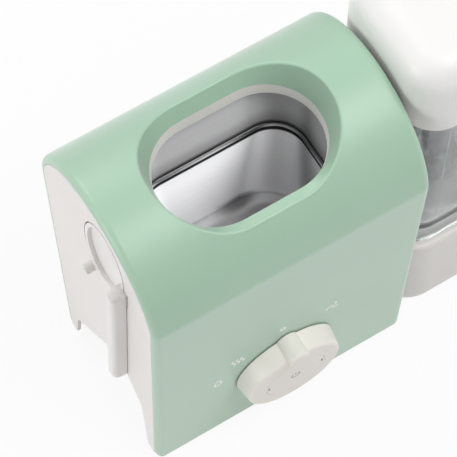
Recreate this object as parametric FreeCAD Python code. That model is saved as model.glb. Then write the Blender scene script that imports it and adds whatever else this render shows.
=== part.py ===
"""Steam cooker and blender for baby food, as separate pieces in millimetres.

The model frame has X to the right, Y to the back and Z up. While the pieces are built, x = 0 is the
middle of the green housing, y = 0 is the foot of its front wall and z = 0 is its lower edge. At the
end every piece moves together so that the origin is under the middle of the whole object.
"""
import FreeCAD, Part
import math
import os

V = FreeCAD.Vector
X_AXIS = V(1, 0, 0)
Y_AXIS = V(0, 1, 0)
Z_AXIS = V(0, 0, 1)

# General fits
GAP = 0.3                # clearance between pieces that only lie beside each other
SEAT = 0.1               # clearance where a piece rests on its seat
RUN = 0.05               # radial clearance of a shaft in its hole
REACH = 5.0              # how far a cutting tool passes the face that it leaves

# Green housing
BODY_WIDTH = 176.0
BODY_DEPTH = 110.4       # between the two walls at their feet
BODY_HEIGHT = 256.0      # lower edge to the top of the crown
CROWN_RISE = 54.0        # top of the crown above the end of the straight walls
WALL_LEAN = 7.2          # how far each wall leans outwards at the shoulder
SHOULDER_R = 14.0
WALL = 2.6
EDGE_R = 4.2             # rounding of the housing's side edges
LIP = 4.6                # width of the side edge round a panel
RIB = 7.0                # stop rib behind a panel, measured in from the outside
RIB_T = 2.0
FOOT_CORNER_R = 6.0      # rounding of the lower corners in the front view

# Tank mouth: a stadium whose rim lies on the crown and whose throat is level
MOUTH_FORWARD = 4.5      # its middle in front of the housing's middle
MOUTH_FLAT = 0.6         # half of the short straight at each end of the stadium
RIM_MARGIN_X = 31.8      # rim to the housing's sides
RIM_MARGIN_Y = 15.0      # half depth of the rim less than the housing's
FUNNEL_X, FUNNEL_Y = 5.7, 6.2
THROAT_STEP = 1.56       # throat below the lowest point of the rim
COLLAR_T = 2.4
RIM_R = 1.2              # rounding of the mouth's upper edge
ARC_STEPS = 12           # points that guide each quarter of the rim
FUNNEL_REACH = 1.3       # the funnel's cutting tool passes the crown by this share of its slope

# Tank rim seal
SEAL_T = 3.0
SEAL_H = 7.0
SEAL_DRAFT_X, SEAL_DRAFT_Y = 0.9, 1.8

# Steam tank: inner sizes, hung from the throat
TANK_T = 1.0
TANK_WIDER_X, TANK_WIDER_Y = 1.9, 0.7    # upper part outside the throat
TANK_UP_R = 22.0
TANK_STEP = 0.9                          # lower part inside the upper part
TANK_LOW_R = 20.0
TANK_DRAFT_X, TANK_DRAFT_Y = 0.9, 0.4    # floor inside the lower part's top
TANK_FLOOR_FLAT = 2.0                    # half of the floor's short straight
LEDGE_DROP = 58.0
FLOOR_DROP = 138.0
TANK_FLOOR_R = 9.0
TANK_FLANGE = 3.0
BEAD_H, BEAD_IN = 3.0, 1.2

# Tank frame
FRAME_T = 4.0
FRAME_BESIDE_TRAY = 2.0                  # frame inside the tray's sides
FRAME_OVER_Y = 12.0                      # frame beyond the throat, front and back
FRAME_CORNER_R = 12.0
POST_R = 5.0
POST_INSET_X, POST_INSET_Y = 7.0, 6.0

# Heater under the tank
PLATE_X, PLATE_Y, PLATE_R, PLATE_T = 38.0, 22.0, 14.0, 6.0
ELEMENT_R = 3.5
ELEMENT_BEND_R = 13.0
ELEMENT_RUN = 46.0
ELEMENT_PIN_R, ELEMENT_PIN_L = 2.0, 12.0
THERMOSTAT_R, THERMOSTAT_H = 8.0, 6.0
TAB_T, TAB_W, TAB_L = 0.8, 4.8, 6.0
FUSE_X, FUSE_Y, FUSE_H = 6.0, 10.0, 4.0
FUSE_INSET = 1.0

# Side panels
PANEL_T = 2.5
PANEL_GAP = 0.25
PANEL_FOOT = 1.0
ARCH_FRONT_FOOT, ARCH_FRONT_KNEE_Y, ARCH_FRONT_KNEE_Z = 11.5, 17.0, 56.0
ARCH_PEAK_Y, ARCH_PEAK_Z = 41.0, 83.0
ARCH_REAR_FOOT, ARCH_REAR_KNEE_IN, ARCH_REAR_KNEE_Z = 10.4, 15.4, 28.5
ARCH_R = 12.0

# Spatula and its pocket in the left panel
HANDLE_W, HANDLE_T, HANDLE_R = 8.2, 9.0, 2.8
HANDLE_FORWARD, HANDLE_DOWN = 29.0, 48.0     # its top from the housing's middle and crown
HANDLE_RUN, HANDLE_DROP = 9.3, 134.0
HANDLE_END_R = 7.0
NECK_L = 16.0
HEAD_FORWARD, HEAD_DOWN = 9.2, 46.0
HEAD_LONG, HEAD_SHORT, HEAD_TILT = 33.0, 20.5, -8.0
HEAD_T, HEAD_RIM, HEAD_DISH = 4.3, 2.6, 2.6
POCKET_DEPTH = 4.5
POCKET_GAP = 0.8
POCKET_WALL = 2.0
PEG_R, PEG_BACK, PEG_DOWN, PEG_L = 3.2, 6.8, 84.0, 5.0

# Base tray and feet
TRAY_INSET = 20.0        # tray inside the housing's sides
TRAY_CLEAR = 0.6
TRAY_T = 2.5
TRAY_FOOT = 2.0
TRAY_FLANGE_T = 2.5
FLANGE_IN = 8.0
FOOT_DROP = 3.0
FOOT_R = 7.0
FOOT_INSET_X, FOOT_INSET_Y = 24.0, 14.0

# Control board
BOARD_SIDE, BOARD_BACK = 20.5, 8.7     # board to the tray's walls
BOARD_LX, BOARD_LY, BOARD_T = 54.0, 40.0, 1.6
STANDOFF_R, STANDOFF_H = 3.0, 6.0
BOARD_PIN_R = 1.4
BOARD_HOLE_INSET = 4.0
RELAY_LX, RELAY_LY, RELAY_H = 18.0, 15.0, 14.0
SINK_LX, SINK_LY, SINK_H = 12.0, 4.0, 20.0
CAPACITOR_R, CAPACITOR_H = 5.0, 16.0
BOARD_MARGIN = 9.0

# Cord gland in the rear wall
GLAND_INSET, GLAND_Z = 18.0, 24.0
GLAND_R, GLAND_NECK_R, GLAND_BORE_R = 9.0, 5.8, 3.2
GLAND_HEAD, GLAND_INNER = 3.4, 2.4

# Selector knob, switch and shaft
KNOB_X, KNOB_Z = -1.0, 61.0
KNOB_R, KNOB_FACE_R = 33.0, 31.0
KNOB_GAP = 0.8
KNOB_DEPTH = 13.0
KNOB_EDGE_R = 2.5
KNOB_WALL = 2.6
KNOB_FACE_T = 3.2
KNOB_HUB_R = 7.0
POINTER_R, POINTER_OUT, POINTER_EDGE_R = 7.0, 30.2, 2.4
POINTER_PROUD = 3.0      # ridge in front of the knob's face
CAP_R, CAP_T = 20.0, 1.4
SHAFT_R = 3.0
TAB_PCR = 5.0            # distance of the switch's tabs from its axis
SWITCH_R, SWITCH_L = 13.0, 19.0
SWITCH_BUSH_R, SWITCH_BUSH_L = 4.6, 4.6
NUT_ACROSS, NUT_T = 16.0, 2.4

# Mixing bowl and lid
BOWL_X, BOWL_Y = 48.0, 43.0      # outer half sizes
BOWL_R = 20.0
BOWL_WALL = 2.6
BOWL_FLOOR_T = 3.0
BOWL_SKIRT = 15.7                # deck to the underside of the floor
BOWL_TOP = 232.0
LID_WALL = 2.2
LID_FIT = 0.5
LID_SKIRT = 8.0
LID_TOP = 282.0
LID_CROWN_R = 18.0
LID_LEDGE_T = 2.5
LID_BESIDE_BODY = 2.5            # air between the lid and the housing
LID_SEAL_T, LID_SEAL_H = 2.6, 6.0
GRIP_OUT, GRIP_T, GRIP_W = 34.5, 12.0, 22.0
GRIP_TOP, GRIP_BOTTOM = 213.0, 108.0
GRIP_R, GRIP_EDGE_R = 11.0, 4.0

# Motor base
DECK_Z = 74.0
DECK_T = 3.0
BASE_OVER = 4.5                  # how far the base reaches past the bowl at its far end
BASE_R = 24.0
BASE_WALL = 2.6
BASE_EDGE_R = 3.0
BASE_FOOT = 1.0
COVER_T = 2.5
SPIGOT_R, SPIGOT_WALL, SPIGOT_H = 34.0, 3.0, 6.0
BASE_FOOT_DX, BASE_FOOT_DY = 38.0, 16.0

# Motor
BRACKET_R, BRACKET_T = 41.0, 3.0
BRACKET_DROP = 9.8               # deck underside to the bracket
BOSS_R, BOSS_PCR = 4.5, 36.0
SCREW_R, SCREW_HEAD_R, SCREW_HEAD_H = 1.7, 3.2, 2.2
CAN_R, CAN_H, CAN_T = 27.0, 44.0, 1.5
BEARING_R, BEARING_H = 7.0, 4.6
BEARING_WALL = 2.4
BELL_T = 3.5
MAGNET_IN_R, MAGNET_T, MAGNET_H, MAGNET_SPAN = 18.6, 6.6, 30.0, 120.0
ROTOR_R, ROTOR_H = 17.6, 26.0
ROTOR_SLOTS, ROTOR_SLOT_W, ROTOR_SLOT_DEPTH = 8, 3.0, 7.0
COMM_R, COMM_H = 7.0, 4.0
BRUSH_L, BRUSH_W, BRUSH_H = 9.0, 5.0, 3.4
CARD_T = 1.4
SEAL_RING_R = 9.0

# Couplings and blades
DISC_R, DISC_T = 13.0, 3.0
CROSS_L, CROSS_W, CROSS_H = 22.0, 6.0, 6.0
CROSS_FIT = 0.4
CUP_R, CUP_H = 15.0, 10.0
BLADE_SHAFT_R = 3.5
BUSH_R, BOSS_TOP, BOSS_WALL = 7.0, 11.0, 3.5
COLLAR_R, COLLAR_H = 9.0, 4.0
BLADE_T, BLADE_LEN, BLADE_W = 1.5, 35.0, 13.0
BLADE_TIP, BLADE_ROOT = 2.0, 5.4
BLADE_TILT_UP, BLADE_TILT_DOWN = 14.0, -6.0
BLADE_CAP_H = 9.0

# Screws in the tray and between the two housings
TRAY_SCREW_L = 14.0
BRIDGE_SCREW_L = 12.0
BRIDGE_Y, BRIDGE_Z = 26.0, 40.0
COVER_SCREW_L = 10.0

# Derived places
HALF_WIDTH = BODY_WIDTH / 2
MID_Y = BODY_DEPTH / 2
SHOULDER_Z = BODY_HEIGHT - CROWN_RISE
LEAN = math.atan2(WALL_LEAN, SHOULDER_Z)
SHOULDER_MID_Y = SHOULDER_R * math.cos(LEAN) - WALL_LEAN
SHOULDER_MID_Z = SHOULDER_R * math.sin(LEAN) + SHOULDER_Z
CROWN_ACROSS = MID_Y - SHOULDER_MID_Y
CROWN_UP = BODY_HEIGHT - SHOULDER_MID_Z
CROWN_R = (CROWN_ACROSS ** 2 + CROWN_UP ** 2 - SHOULDER_R ** 2) / (2 * (CROWN_UP - SHOULDER_R))
CROWN_Z = BODY_HEIGHT - CROWN_R
MOUTH_Y = MID_Y - MOUTH_FORWARD
RIM_X = HALF_WIDTH - RIM_MARGIN_X
RIM_Y = MID_Y - RIM_MARGIN_Y
THROAT_X = RIM_X - FUNNEL_X
THROAT_Y = RIM_Y - FUNNEL_Y
THROAT_Z = CROWN_Z + math.sqrt(CROWN_R ** 2 - (RIM_Y + MOUTH_FORWARD) ** 2) - THROAT_STEP
TANK_UP_X = THROAT_X + TANK_WIDER_X
TANK_UP_Y = THROAT_Y + TANK_WIDER_Y
TANK_LOW_X = TANK_UP_X - TANK_STEP
TANK_LOW_Y = TANK_UP_Y - TANK_STEP
TANK_FLOOR_X = TANK_LOW_X - TANK_DRAFT_X
TANK_FLOOR_Y = TANK_LOW_Y - TANK_DRAFT_Y
TANK_FLOOR_CORNER = TANK_FLOOR_Y - TANK_FLOOR_FLAT
TANK_LEDGE_Z = THROAT_Z - LEDGE_DROP
TANK_FLOOR_Z = THROAT_Z - FLOOR_DROP
TRAY_X = HALF_WIDTH - TRAY_INSET
FRAME_X = TRAY_X - FRAME_BESIDE_TRAY
FRAME_Y = THROAT_Y + FRAME_OVER_Y
POST_X = FRAME_X - POST_INSET_X
POST_Y = FRAME_Y - POST_INSET_Y
FOOT_X = TRAY_X - FOOT_INSET_X
GLAND_X = TRAY_X - GLAND_INSET
HEAD_Y = MID_Y - HEAD_FORWARD
HEAD_Z = BODY_HEIGHT - HEAD_DOWN
HANDLE_END_Y = MID_Y - HANDLE_FORWARD + HANDLE_RUN
HANDLE_END_Z = BODY_HEIGHT - HANDLE_DOWN - HANDLE_DROP
PEG_Y = MID_Y + PEG_BACK
PEG_Z = BODY_HEIGHT - PEG_DOWN
LID_X = BOWL_X + LID_FIT + LID_WALL
LID_Y = BOWL_Y + LID_FIT + LID_WALL
LID_R = BOWL_R + LID_FIT + LID_WALL
AXIS_X = HALF_WIDTH + LID_BESIDE_BODY + LID_X
BOWL_FOOT = DECK_Z + GAP
BOWL_FLOOR = BOWL_FOOT + BOWL_SKIRT
SEAL_TOP = THROAT_Z - SEAT
FLANGE_TOP = SEAL_TOP - SEAL_H - SEAT
PLATE_TOP = TANK_FLOOR_Z - TANK_T - SEAT
TRAY_TOP = ARCH_PEAK_Z - ARCH_R / 4
TRAY_Y0 = WALL + TRAY_CLEAR
TRAY_Y1 = BODY_DEPTH - TRAY_Y0
BOARD_X0 = -TRAY_X + TRAY_T + BOARD_SIDE
BOARD_Y0 = TRAY_Y1 - TRAY_T - BOARD_BACK - BOARD_LY
BRACKET_TOP = DECK_Z - DECK_T - BRACKET_DROP
CAN_TOP = BRACKET_TOP - BRACKET_T - SEAT
CAN_FOOT = CAN_TOP - CAN_H
INNER_X = HALF_WIDTH - PANEL_T - PANEL_GAP


def box(x0, x1, y0, y1, z0, z1):
    """Block between two corners."""
    return Part.makeBox(x1 - x0, y1 - y0, z1 - z0, V(x0, y0, z0))


def post(radius, z0, z1, x, y):
    """Upright cylinder."""
    return Part.makeCylinder(radius, z1 - z0, V(x, y, z0), Z_AXIS)


def tube(radius, bore, z0, z1, x, y):
    """Upright tube."""
    return post(radius, z0, z1, x, y).cut(post(bore, z0, z1, x, y))


def rod(radius, start, end):
    """Cylinder between two points."""
    way = end - start
    return Part.makeCylinder(radius, way.Length, start, way)


def join(*shapes):
    """One solid from overlapping shapes, without seams between flush faces."""
    return shapes[0].fuse(list(shapes[1:])).removeSplitter()


def rounded_rect(half_x, half_y, corner, x, y, z):
    """Level closed wire: a rectangle with rounded corners about (x, y)."""
    a, b = half_x - corner, half_y - corner
    s = corner * math.sqrt(0.5)
    edges = []
    sides = [((half_x, -b), (half_x, b)), ((a, half_y), (-a, half_y)),
             ((-half_x, b), (-half_x, -b)), ((-a, -half_y), (a, -half_y))]
    mids = [(a + s, b + s), (-a - s, b + s), (-a - s, -b - s), (a + s, -b - s)]

    def at(point):
        return V(x + point[0], y + point[1], z)

    for i in range(4):
        start, end = sides[i]
        following = sides[(i + 1) % 4][0]
        edges.append(Part.LineSegment(at(start), at(end)).toShape())
        edges.append(Part.Arc(at(end), at(mids[i]), at(following)).toShape())
    return Part.Wire(edges)


def block(half_x, half_y, corner, z0, z1, x, y):
    """Upright prism with a rounded rectangular plan."""
    return Part.Face(rounded_rect(half_x, half_y, corner, x, y, z0)).extrude(V(0, 0, z1 - z0))


def level_edges(shape, z):
    """Edges of a shape that lie at one height."""
    return [e for e in shape.Edges if abs(e.BoundBox.ZMin - z) < 1e-4 and abs(e.BoundBox.ZMax - z) < 1e-4]


def edges_along(shape, axis):
    """Straight edges of a shape that run along one axis."""
    picked = []
    for e in shape.Edges:
        if len(e.Vertexes) == 2:
            way = e.Vertexes[1].Point - e.Vertexes[0].Point
            if way.Length > 1e-4 and abs(abs(way.dot(axis)) - way.Length) < 1e-4:
                picked.append(e)
    return picked


def arch_wire(inset, x):
    """Housing section at one x: two leaning walls, two shoulders and a crown, moved in by inset."""
    normal = V(0, math.cos(LEAN), math.sin(LEAN))
    leg_top = V(x, -WALL_LEAN, SHOULDER_Z)
    shoulder = V(x, SHOULDER_MID_Y, SHOULDER_MID_Z)
    crown = V(x, MID_Y, CROWN_Z)
    outward = (shoulder - crown).normalize()
    middle = (outward - normal).normalize()
    front = [V(x, inset / math.cos(LEAN), 0), leg_top + normal * inset,
             shoulder + middle * (SHOULDER_R - inset), crown + outward * (CROWN_R - inset)]
    rear = [V(x, 2 * MID_Y - p.y, p.z) for p in front]
    top = V(x, MID_Y, BODY_HEIGHT - inset)
    edges = [Part.LineSegment(front[0], front[1]).toShape(),
             Part.Arc(front[1], front[2], front[3]).toShape(),
             Part.Arc(front[3], top, rear[3]).toShape(),
             Part.Arc(rear[3], rear[2], rear[1]).toShape(),
             Part.LineSegment(rear[1], rear[0]).toShape(),
             Part.LineSegment(rear[0], front[0]).toShape()]
    return Part.Wire(edges)


def arch_prism(inset, x0, x1):
    """Solid housing section between two values of x."""
    return Part.Face(arch_wire(inset, x0)).extrude(V(x1 - x0, 0, 0))


def front_wall_y(z):
    """Outside of the front wall at a height."""
    return -z * math.tan(LEAN)


def on_front(shape):
    """Stand a shape on the leaning front wall: its y = 0 is the wall, its origin the knob's axis."""
    shape.rotate(V(0, 0, 0), X_AXIS, math.degrees(LEAN))
    shape.translate(V(KNOB_X, front_wall_y(KNOB_Z), KNOB_Z))
    return shape


def mouth_runs(half_x, half_y):
    """Plan points of the four quarter turns of a stadium about the mouth's middle."""
    corner = half_y - MOUTH_FLAT
    a, b = half_x - corner, half_y - corner
    runs = []
    for turn, (x, y) in enumerate([(a, b), (-a, b), (-a, -b), (a, -b)]):
        angles = [math.radians(90 * (turn + i / ARC_STEPS)) for i in range(ARC_STEPS + 1)]
        runs.append([(x + corner * math.cos(t), MOUTH_Y + y + corner * math.sin(t)) for t in angles])
    return runs


def loop_through(runs):
    """Closed wire through runs of points: a smooth curve for each run and a straight to the next."""
    edges = []
    for run, following in zip(runs, runs[1:] + runs[:1]):
        curve = Part.BSplineCurve()
        curve.interpolate(run)
        edges.append(curve.toShape())
        edges.append(Part.LineSegment(run[-1], following[0]).toShape())
    return Part.Wire(edges)


def mouth(grow):
    """Funnel of the tank mouth from its level throat up past the crown, grown all round by a wall."""
    low = [[V(x, y, THROAT_Z) for x, y in run] for run in mouth_runs(THROAT_X + grow, THROAT_Y + grow)]
    rim = [[V(x, y, CROWN_Z + math.sqrt(CROWN_R ** 2 - (y - MID_Y) ** 2)) for x, y in run]
           for run in mouth_runs(RIM_X + grow, RIM_Y + grow)]
    past = [[p + (q - p) * FUNNEL_REACH for p, q in zip(*pair)] for pair in zip(low, rim)]
    over = [[V(p.x, p.y, BODY_HEIGHT + 2 * REACH) for p in run] for run in past]
    return Part.makeLoft([loop_through(low), loop_through(past), loop_through(over)], True, True)


def mouth_rim(shell):
    """Edges where the funnel meets the outside of the crown."""
    crown = arch_prism(0, -HALF_WIDTH, HALF_WIDTH).Shells[0]
    rim = []
    for edge in shell.Edges:
        middle = edge.valueAt((edge.FirstParameter + edge.LastParameter) / 2)
        inside = abs(middle.x) < RIM_X + GAP and abs(middle.y - MOUTH_Y) < RIM_Y + GAP and middle.z > THROAT_Z
        if inside and Part.Vertex(middle).distToShape(crown)[0] < 0.01:
            rim.append(edge)
    return rim


def outer_wrap():
    """Green shell with its stop ribs, collar and the holes for the switch and the gland."""
    whole = arch_prism(0, -HALF_WIDTH, HALF_WIDTH)
    rims = [e for e in whole.Edges if e.BoundBox.XLength < 1e-4 and e.BoundBox.ZMax > 1e-4]
    whole = whole.makeFillet(EDGE_R, rims)
    seat = HALF_WIDTH - PANEL_T - PANEL_GAP
    shell = whole.cut(arch_prism(WALL, -seat + RIB_T, seat - RIB_T))
    shell = shell.cut(arch_prism(RIB, -HALF_WIDTH - REACH, HALF_WIDTH + REACH))
    for x0 in (-HALF_WIDTH - REACH, seat):
        shell = shell.cut(arch_prism(LIP, x0, x0 + HALF_WIDTH - seat + REACH))
    for side in (-1, 1):
        corner = box(0, FOOT_CORNER_R, -REACH, BODY_DEPTH + REACH, 0, FOOT_CORNER_R)
        corner = corner.cut(rod(FOOT_CORNER_R, V(0, -REACH, FOOT_CORNER_R), V(0, BODY_DEPTH + REACH, FOOT_CORNER_R)))
        corner.translate(V(HALF_WIDTH - FOOT_CORNER_R, 0, 0))
        if side < 0:
            corner = corner.mirror(V(0, 0, 0), X_AXIS)
        shell = shell.cut(corner)
    collar = mouth(COLLAR_T).cut(mouth(0)).common(whole)
    shell = shell.cut(mouth(COLLAR_T)).fuse(collar).removeSplitter()
    shell = shell.makeFillet(RIM_R, mouth_rim(shell))
    hole = on_front(rod(SWITCH_BUSH_R + GAP, V(0, -REACH, 0), V(0, WALL + REACH, 0)))
    gland = rod(GLAND_NECK_R + GAP, V(GLAND_X, BODY_DEPTH - RIB, GLAND_Z), V(GLAND_X, BODY_DEPTH + RIB, GLAND_Z))
    return shell.cut(hole).cut(gland)


def panel(x0):
    """Plain side panel whose outer or inner face starts at x0."""
    plate = arch_prism(LIP + PANEL_GAP, x0, x0 + PANEL_T)
    return plate.cut(box(x0 - REACH, x0 + PANEL_T + REACH, -REACH, BODY_DEPTH + REACH, -REACH, PANEL_FOOT))


def head_form(grow, depth):
    """Spatula head's plan as a solid lying on x = 0 and reaching out to -x, grown all round."""
    head = Part.Face(Part.Wire(Part.Ellipse(V(0, 0, 0), HEAD_LONG + grow, HEAD_SHORT + grow).toShape()))
    head = head.extrude(V(0, 0, depth))
    head.rotate(V(0, 0, 0), Y_AXIS, -90)
    head.rotate(V(0, 0, 0), X_AXIS, -HEAD_TILT)
    head.translate(V(0, HEAD_Y, HEAD_Z))
    return head


def along_handle(bar):
    """Lay a shape that stands on the handle's lower end along the leaning handle."""
    bar.rotate(V(0, 0, 0), X_AXIS, math.degrees(math.atan2(HANDLE_RUN, HANDLE_DROP)))
    bar.translate(V(0, HANDLE_END_Y, HANDLE_END_Z))
    return bar


def handle_length():
    """Length of the spatula's handle."""
    return math.hypot(HANDLE_DROP, HANDLE_RUN)


def neck(grow, depth):
    """Top of the handle that reaches in to x = 0 and joins the head, grown all round."""
    half = HANDLE_W / 2 + grow
    top = handle_length()
    return along_handle(box(-depth, 0, -half, half, top - NECK_L - grow, top + grow))


def handle_bar():
    """Spatula handle in front of the panel, rounded at its lower end."""
    near, far = -POCKET_DEPTH, -POCKET_DEPTH - HANDLE_T
    half = HANDLE_W / 2
    bar = box(far, near, -half, half, 0, handle_length())
    bar = bar.makeFillet(HANDLE_END_R, [e for e in level_edges(bar, 0) if e.BoundBox.XMax < far + 1e-4])
    sides = [e for e in bar.Edges if e.BoundBox.YLength < 1e-4 and e.BoundBox.XMin < near - 1e-4]
    return along_handle(bar.makeFillet(HANDLE_R, sides))


def left_side_panel():
    """White panel with the arched foot opening, the spatula's pocket and its peg."""
    outer = -HALF_WIDTH
    plate = panel(outer)
    backing = head_form(POCKET_GAP + POCKET_WALL, POCKET_DEPTH + POCKET_WALL)
    backing = backing.fuse(neck(POCKET_GAP + POCKET_WALL, POCKET_DEPTH + POCKET_WALL))
    backing.translate(V(outer + POCKET_DEPTH + POCKET_WALL, 0, 0))
    room = arch_prism(RIB + PANEL_GAP, outer, 0)
    plate = plate.fuse(backing.common(room))
    for pocket in (head_form(POCKET_GAP, POCKET_DEPTH + REACH), neck(POCKET_GAP, POCKET_DEPTH + REACH)):
        pocket.translate(V(outer + POCKET_DEPTH, 0, 0))
        plate = plate.cut(pocket)
    corners = [(ARCH_FRONT_FOOT, -REACH), (ARCH_FRONT_KNEE_Y, ARCH_FRONT_KNEE_Z), (ARCH_PEAK_Y, ARCH_PEAK_Z),
               (BODY_DEPTH - ARCH_REAR_KNEE_IN, ARCH_REAR_KNEE_Z), (BODY_DEPTH - ARCH_REAR_FOOT, -REACH)]
    loop = [V(outer - REACH, y, z) for y, z in corners + corners[:1]]
    arch = Part.Face(Part.makePolygon(loop)).extrude(V(4 * REACH, 0, 0))
    bends = [e for e in edges_along(arch, X_AXIS) if e.Vertexes[0].Z > 0]
    plate = plate.cut(arch.makeFillet(ARCH_R, bends))
    peg = rod(PEG_R, V(outer + PANEL_T, PEG_Y, PEG_Z), V(outer - PEG_L, PEG_Y, PEG_Z))
    return join(plate, peg)


def spatula():
    """Spatula with a dished head in the panel's pocket and a thicker handle in front of the panel."""
    dish = head_form(-HEAD_RIM, HEAD_DISH)
    dish.translate(V(-HEAD_T + HEAD_DISH, 0, 0))
    head = head_form(0, HEAD_T).cut(dish)
    whole = join(head, neck(0, POCKET_DEPTH + HANDLE_R), handle_bar())
    whole.translate(V(-HALF_WIDTH + POCKET_DEPTH - GAP, 0, 0))
    return whole


def right_side_panel():
    """White panel at the blender's end, with the holes of the bridge screws."""
    plate = panel(HALF_WIDTH - PANEL_T)
    for y in (MID_Y - BRIDGE_Y, MID_Y + BRIDGE_Y):
        start = V(HALF_WIDTH - PANEL_T - REACH, y, BRIDGE_Z)
        plate = plate.cut(rod(SCREW_R + RUN, start, V(HALF_WIDTH + REACH, y, BRIDGE_Z)))
    return plate


def tank_rim_seal():
    """Off-white ring in the mouth, narrower towards its lower edge."""
    z0 = SEAL_TOP - SEAL_H
    outer = block(THROAT_X + SEAL_T, THROAT_Y + SEAL_T, THROAT_Y + SEAL_T - MOUTH_FLAT, z0, SEAL_TOP, 0, MOUTH_Y)
    low_x, low_y = THROAT_X - SEAL_DRAFT_X, THROAT_Y - SEAL_DRAFT_Y
    wires = [rounded_rect(low_x, low_y, low_y - MOUTH_FLAT, 0, MOUTH_Y, z0),
             rounded_rect(THROAT_X, THROAT_Y, THROAT_Y - MOUTH_FLAT, 0, MOUTH_Y, SEAL_TOP)]
    return outer.cut(Part.makeLoft(wires, True, True))


def tank_body(grow):
    """Tank's filled form, grown by a wall: upper part, ledge and lower part with a rounded floor."""
    floor = TANK_FLOOR_Z - grow
    wires = [rounded_rect(TANK_FLOOR_X + grow, TANK_FLOOR_Y + grow, TANK_FLOOR_CORNER + grow, 0, MOUTH_Y, floor),
             rounded_rect(TANK_LOW_X + grow, TANK_LOW_Y + grow, TANK_LOW_R + grow, 0, MOUTH_Y, TANK_LEDGE_Z)]
    low = Part.makeLoft(wires, True, True)
    low = low.makeFillet(TANK_FLOOR_R + grow, level_edges(low, floor))
    up = block(TANK_UP_X + grow, TANK_UP_Y + grow, TANK_UP_R + grow, TANK_LEDGE_Z - grow, FLANGE_TOP, 0, MOUTH_Y)
    return join(up, low)


def tank_ring(inset, z):
    """Level wire round the inside of the tank's lower part at its top, moved in."""
    return rounded_rect(TANK_LOW_X - inset, TANK_LOW_Y - inset, TANK_LOW_R - inset, 0, MOUTH_Y, z)


def steam_tank():
    """Drawn steel tank with a flange, a small step and a rolled bead at the step."""
    edge = TANK_T + TANK_FLANGE
    flange = block(TANK_UP_X + edge, TANK_UP_Y + edge, TANK_UP_R + edge, FLANGE_TOP - TANK_T, FLANGE_TOP, 0, MOUTH_Y)
    tank = join(tank_body(TANK_T), flange).cut(tank_body(0))
    z0, z1 = TANK_LEDGE_Z - BEAD_H / 2, TANK_LEDGE_Z + BEAD_H / 2
    wall = TANK_T / 2
    bead = Part.Face(tank_ring(-wall, z0)).extrude(V(0, 0, BEAD_H))
    bore = Part.makeLoft([tank_ring(0, z0), tank_ring(BEAD_IN, TANK_LEDGE_Z), tank_ring(0, z1)], True, True)
    return join(tank, bead.cut(bore))


def post_places():
    """Plan positions of the tank frame's four posts."""
    return [(sx * POST_X, MOUTH_Y + sy * POST_Y) for sx in (-1, 1) for sy in (-1, 1)]


def tank_frame():
    """Plate under the tank's ledge on four posts that stand in the tray."""
    top = TANK_LEDGE_Z - TANK_T - SEAT
    plate = block(FRAME_X, FRAME_Y, FRAME_CORNER_R, top - FRAME_T, top, 0, MOUTH_Y)
    space = TANK_T + GAP
    hole = block(TANK_LOW_X + space, TANK_LOW_Y + space, TANK_LOW_R + space, top - FRAME_T, top, 0, MOUTH_Y)
    frame = plate.cut(hole)
    foot = TRAY_FOOT + TRAY_T + SEAT
    for x, y in post_places():
        frame = frame.fuse(post(POST_R, foot, top - FRAME_T / 2, x, y))
    for x, y in post_places():
        frame = frame.cut(post(SCREW_R + RUN, foot, foot + TRAY_SCREW_L, x, y))
    return frame.removeSplitter()


def heater_element(grow):
    """Sheathed U-shaped element with its two pins, grown by a clearance."""
    z = PLATE_TOP - PLATE_T
    bend_x = ELEMENT_RUN / 2
    radius = ELEMENT_R + grow
    parts = [Part.makeTorus(ELEMENT_BEND_R, radius, V(bend_x, MOUTH_Y, z), Z_AXIS, -180, 180, 180)]
    parts[0].rotate(V(bend_x, MOUTH_Y, z), Z_AXIS, -90)
    for side in (-1, 1):
        y = MOUTH_Y + side * ELEMENT_BEND_R
        parts.append(rod(radius, V(-bend_x, y, z), V(bend_x, y, z)))
        parts.append(rod(ELEMENT_PIN_R, V(-bend_x + ELEMENT_R, y, z), V(-bend_x + ELEMENT_R, y, z - ELEMENT_PIN_L)))
    return join(*parts)


def heating_plate():
    """Cast plate under the tank with a groove for the element."""
    plate = block(PLATE_X, PLATE_Y, PLATE_R, PLATE_TOP - PLATE_T, PLATE_TOP, 0, MOUTH_Y)
    return plate.cut(heater_element(SEAT))


def thermostat():
    """Snap disc thermostat in the middle of the plate, with its two tabs."""
    top = PLATE_TOP - PLATE_T - SEAT
    body = post(THERMOSTAT_R, top - THERMOSTAT_H, top, 0, MOUTH_Y)
    for side in (-1, 1):
        x = side * THERMOSTAT_R / 2
        tab_top = top - THERMOSTAT_H
        body = body.fuse(box(x - TAB_T / 2, x + TAB_T / 2, MOUTH_Y - TAB_W / 2, MOUTH_Y + TAB_W / 2,
                             tab_top - TAB_L, tab_top))
    return body.removeSplitter()


def thermal_fuse():
    """Thermal fuse clamped under the cold end of the plate."""
    top = PLATE_TOP - PLATE_T - SEAT
    x0 = -PLATE_X + FUSE_INSET
    return box(x0, x0 + FUSE_X, MOUTH_Y - FUSE_Y / 2, MOUTH_Y + FUSE_Y / 2, top - FUSE_H, top)


def foot_places():
    """Plan positions of the feet: four under the housing, two under the motor base."""
    places = [(x, y, TRAY_FOOT) for x in (-FOOT_X, FOOT_X) for y in (FOOT_INSET_Y, BODY_DEPTH - FOOT_INSET_Y)]
    places += [(AXIS_X + BASE_FOOT_DX, MID_Y + dy, BASE_FOOT) for dy in (-BASE_FOOT_DY, BASE_FOOT_DY)]
    return places


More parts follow.
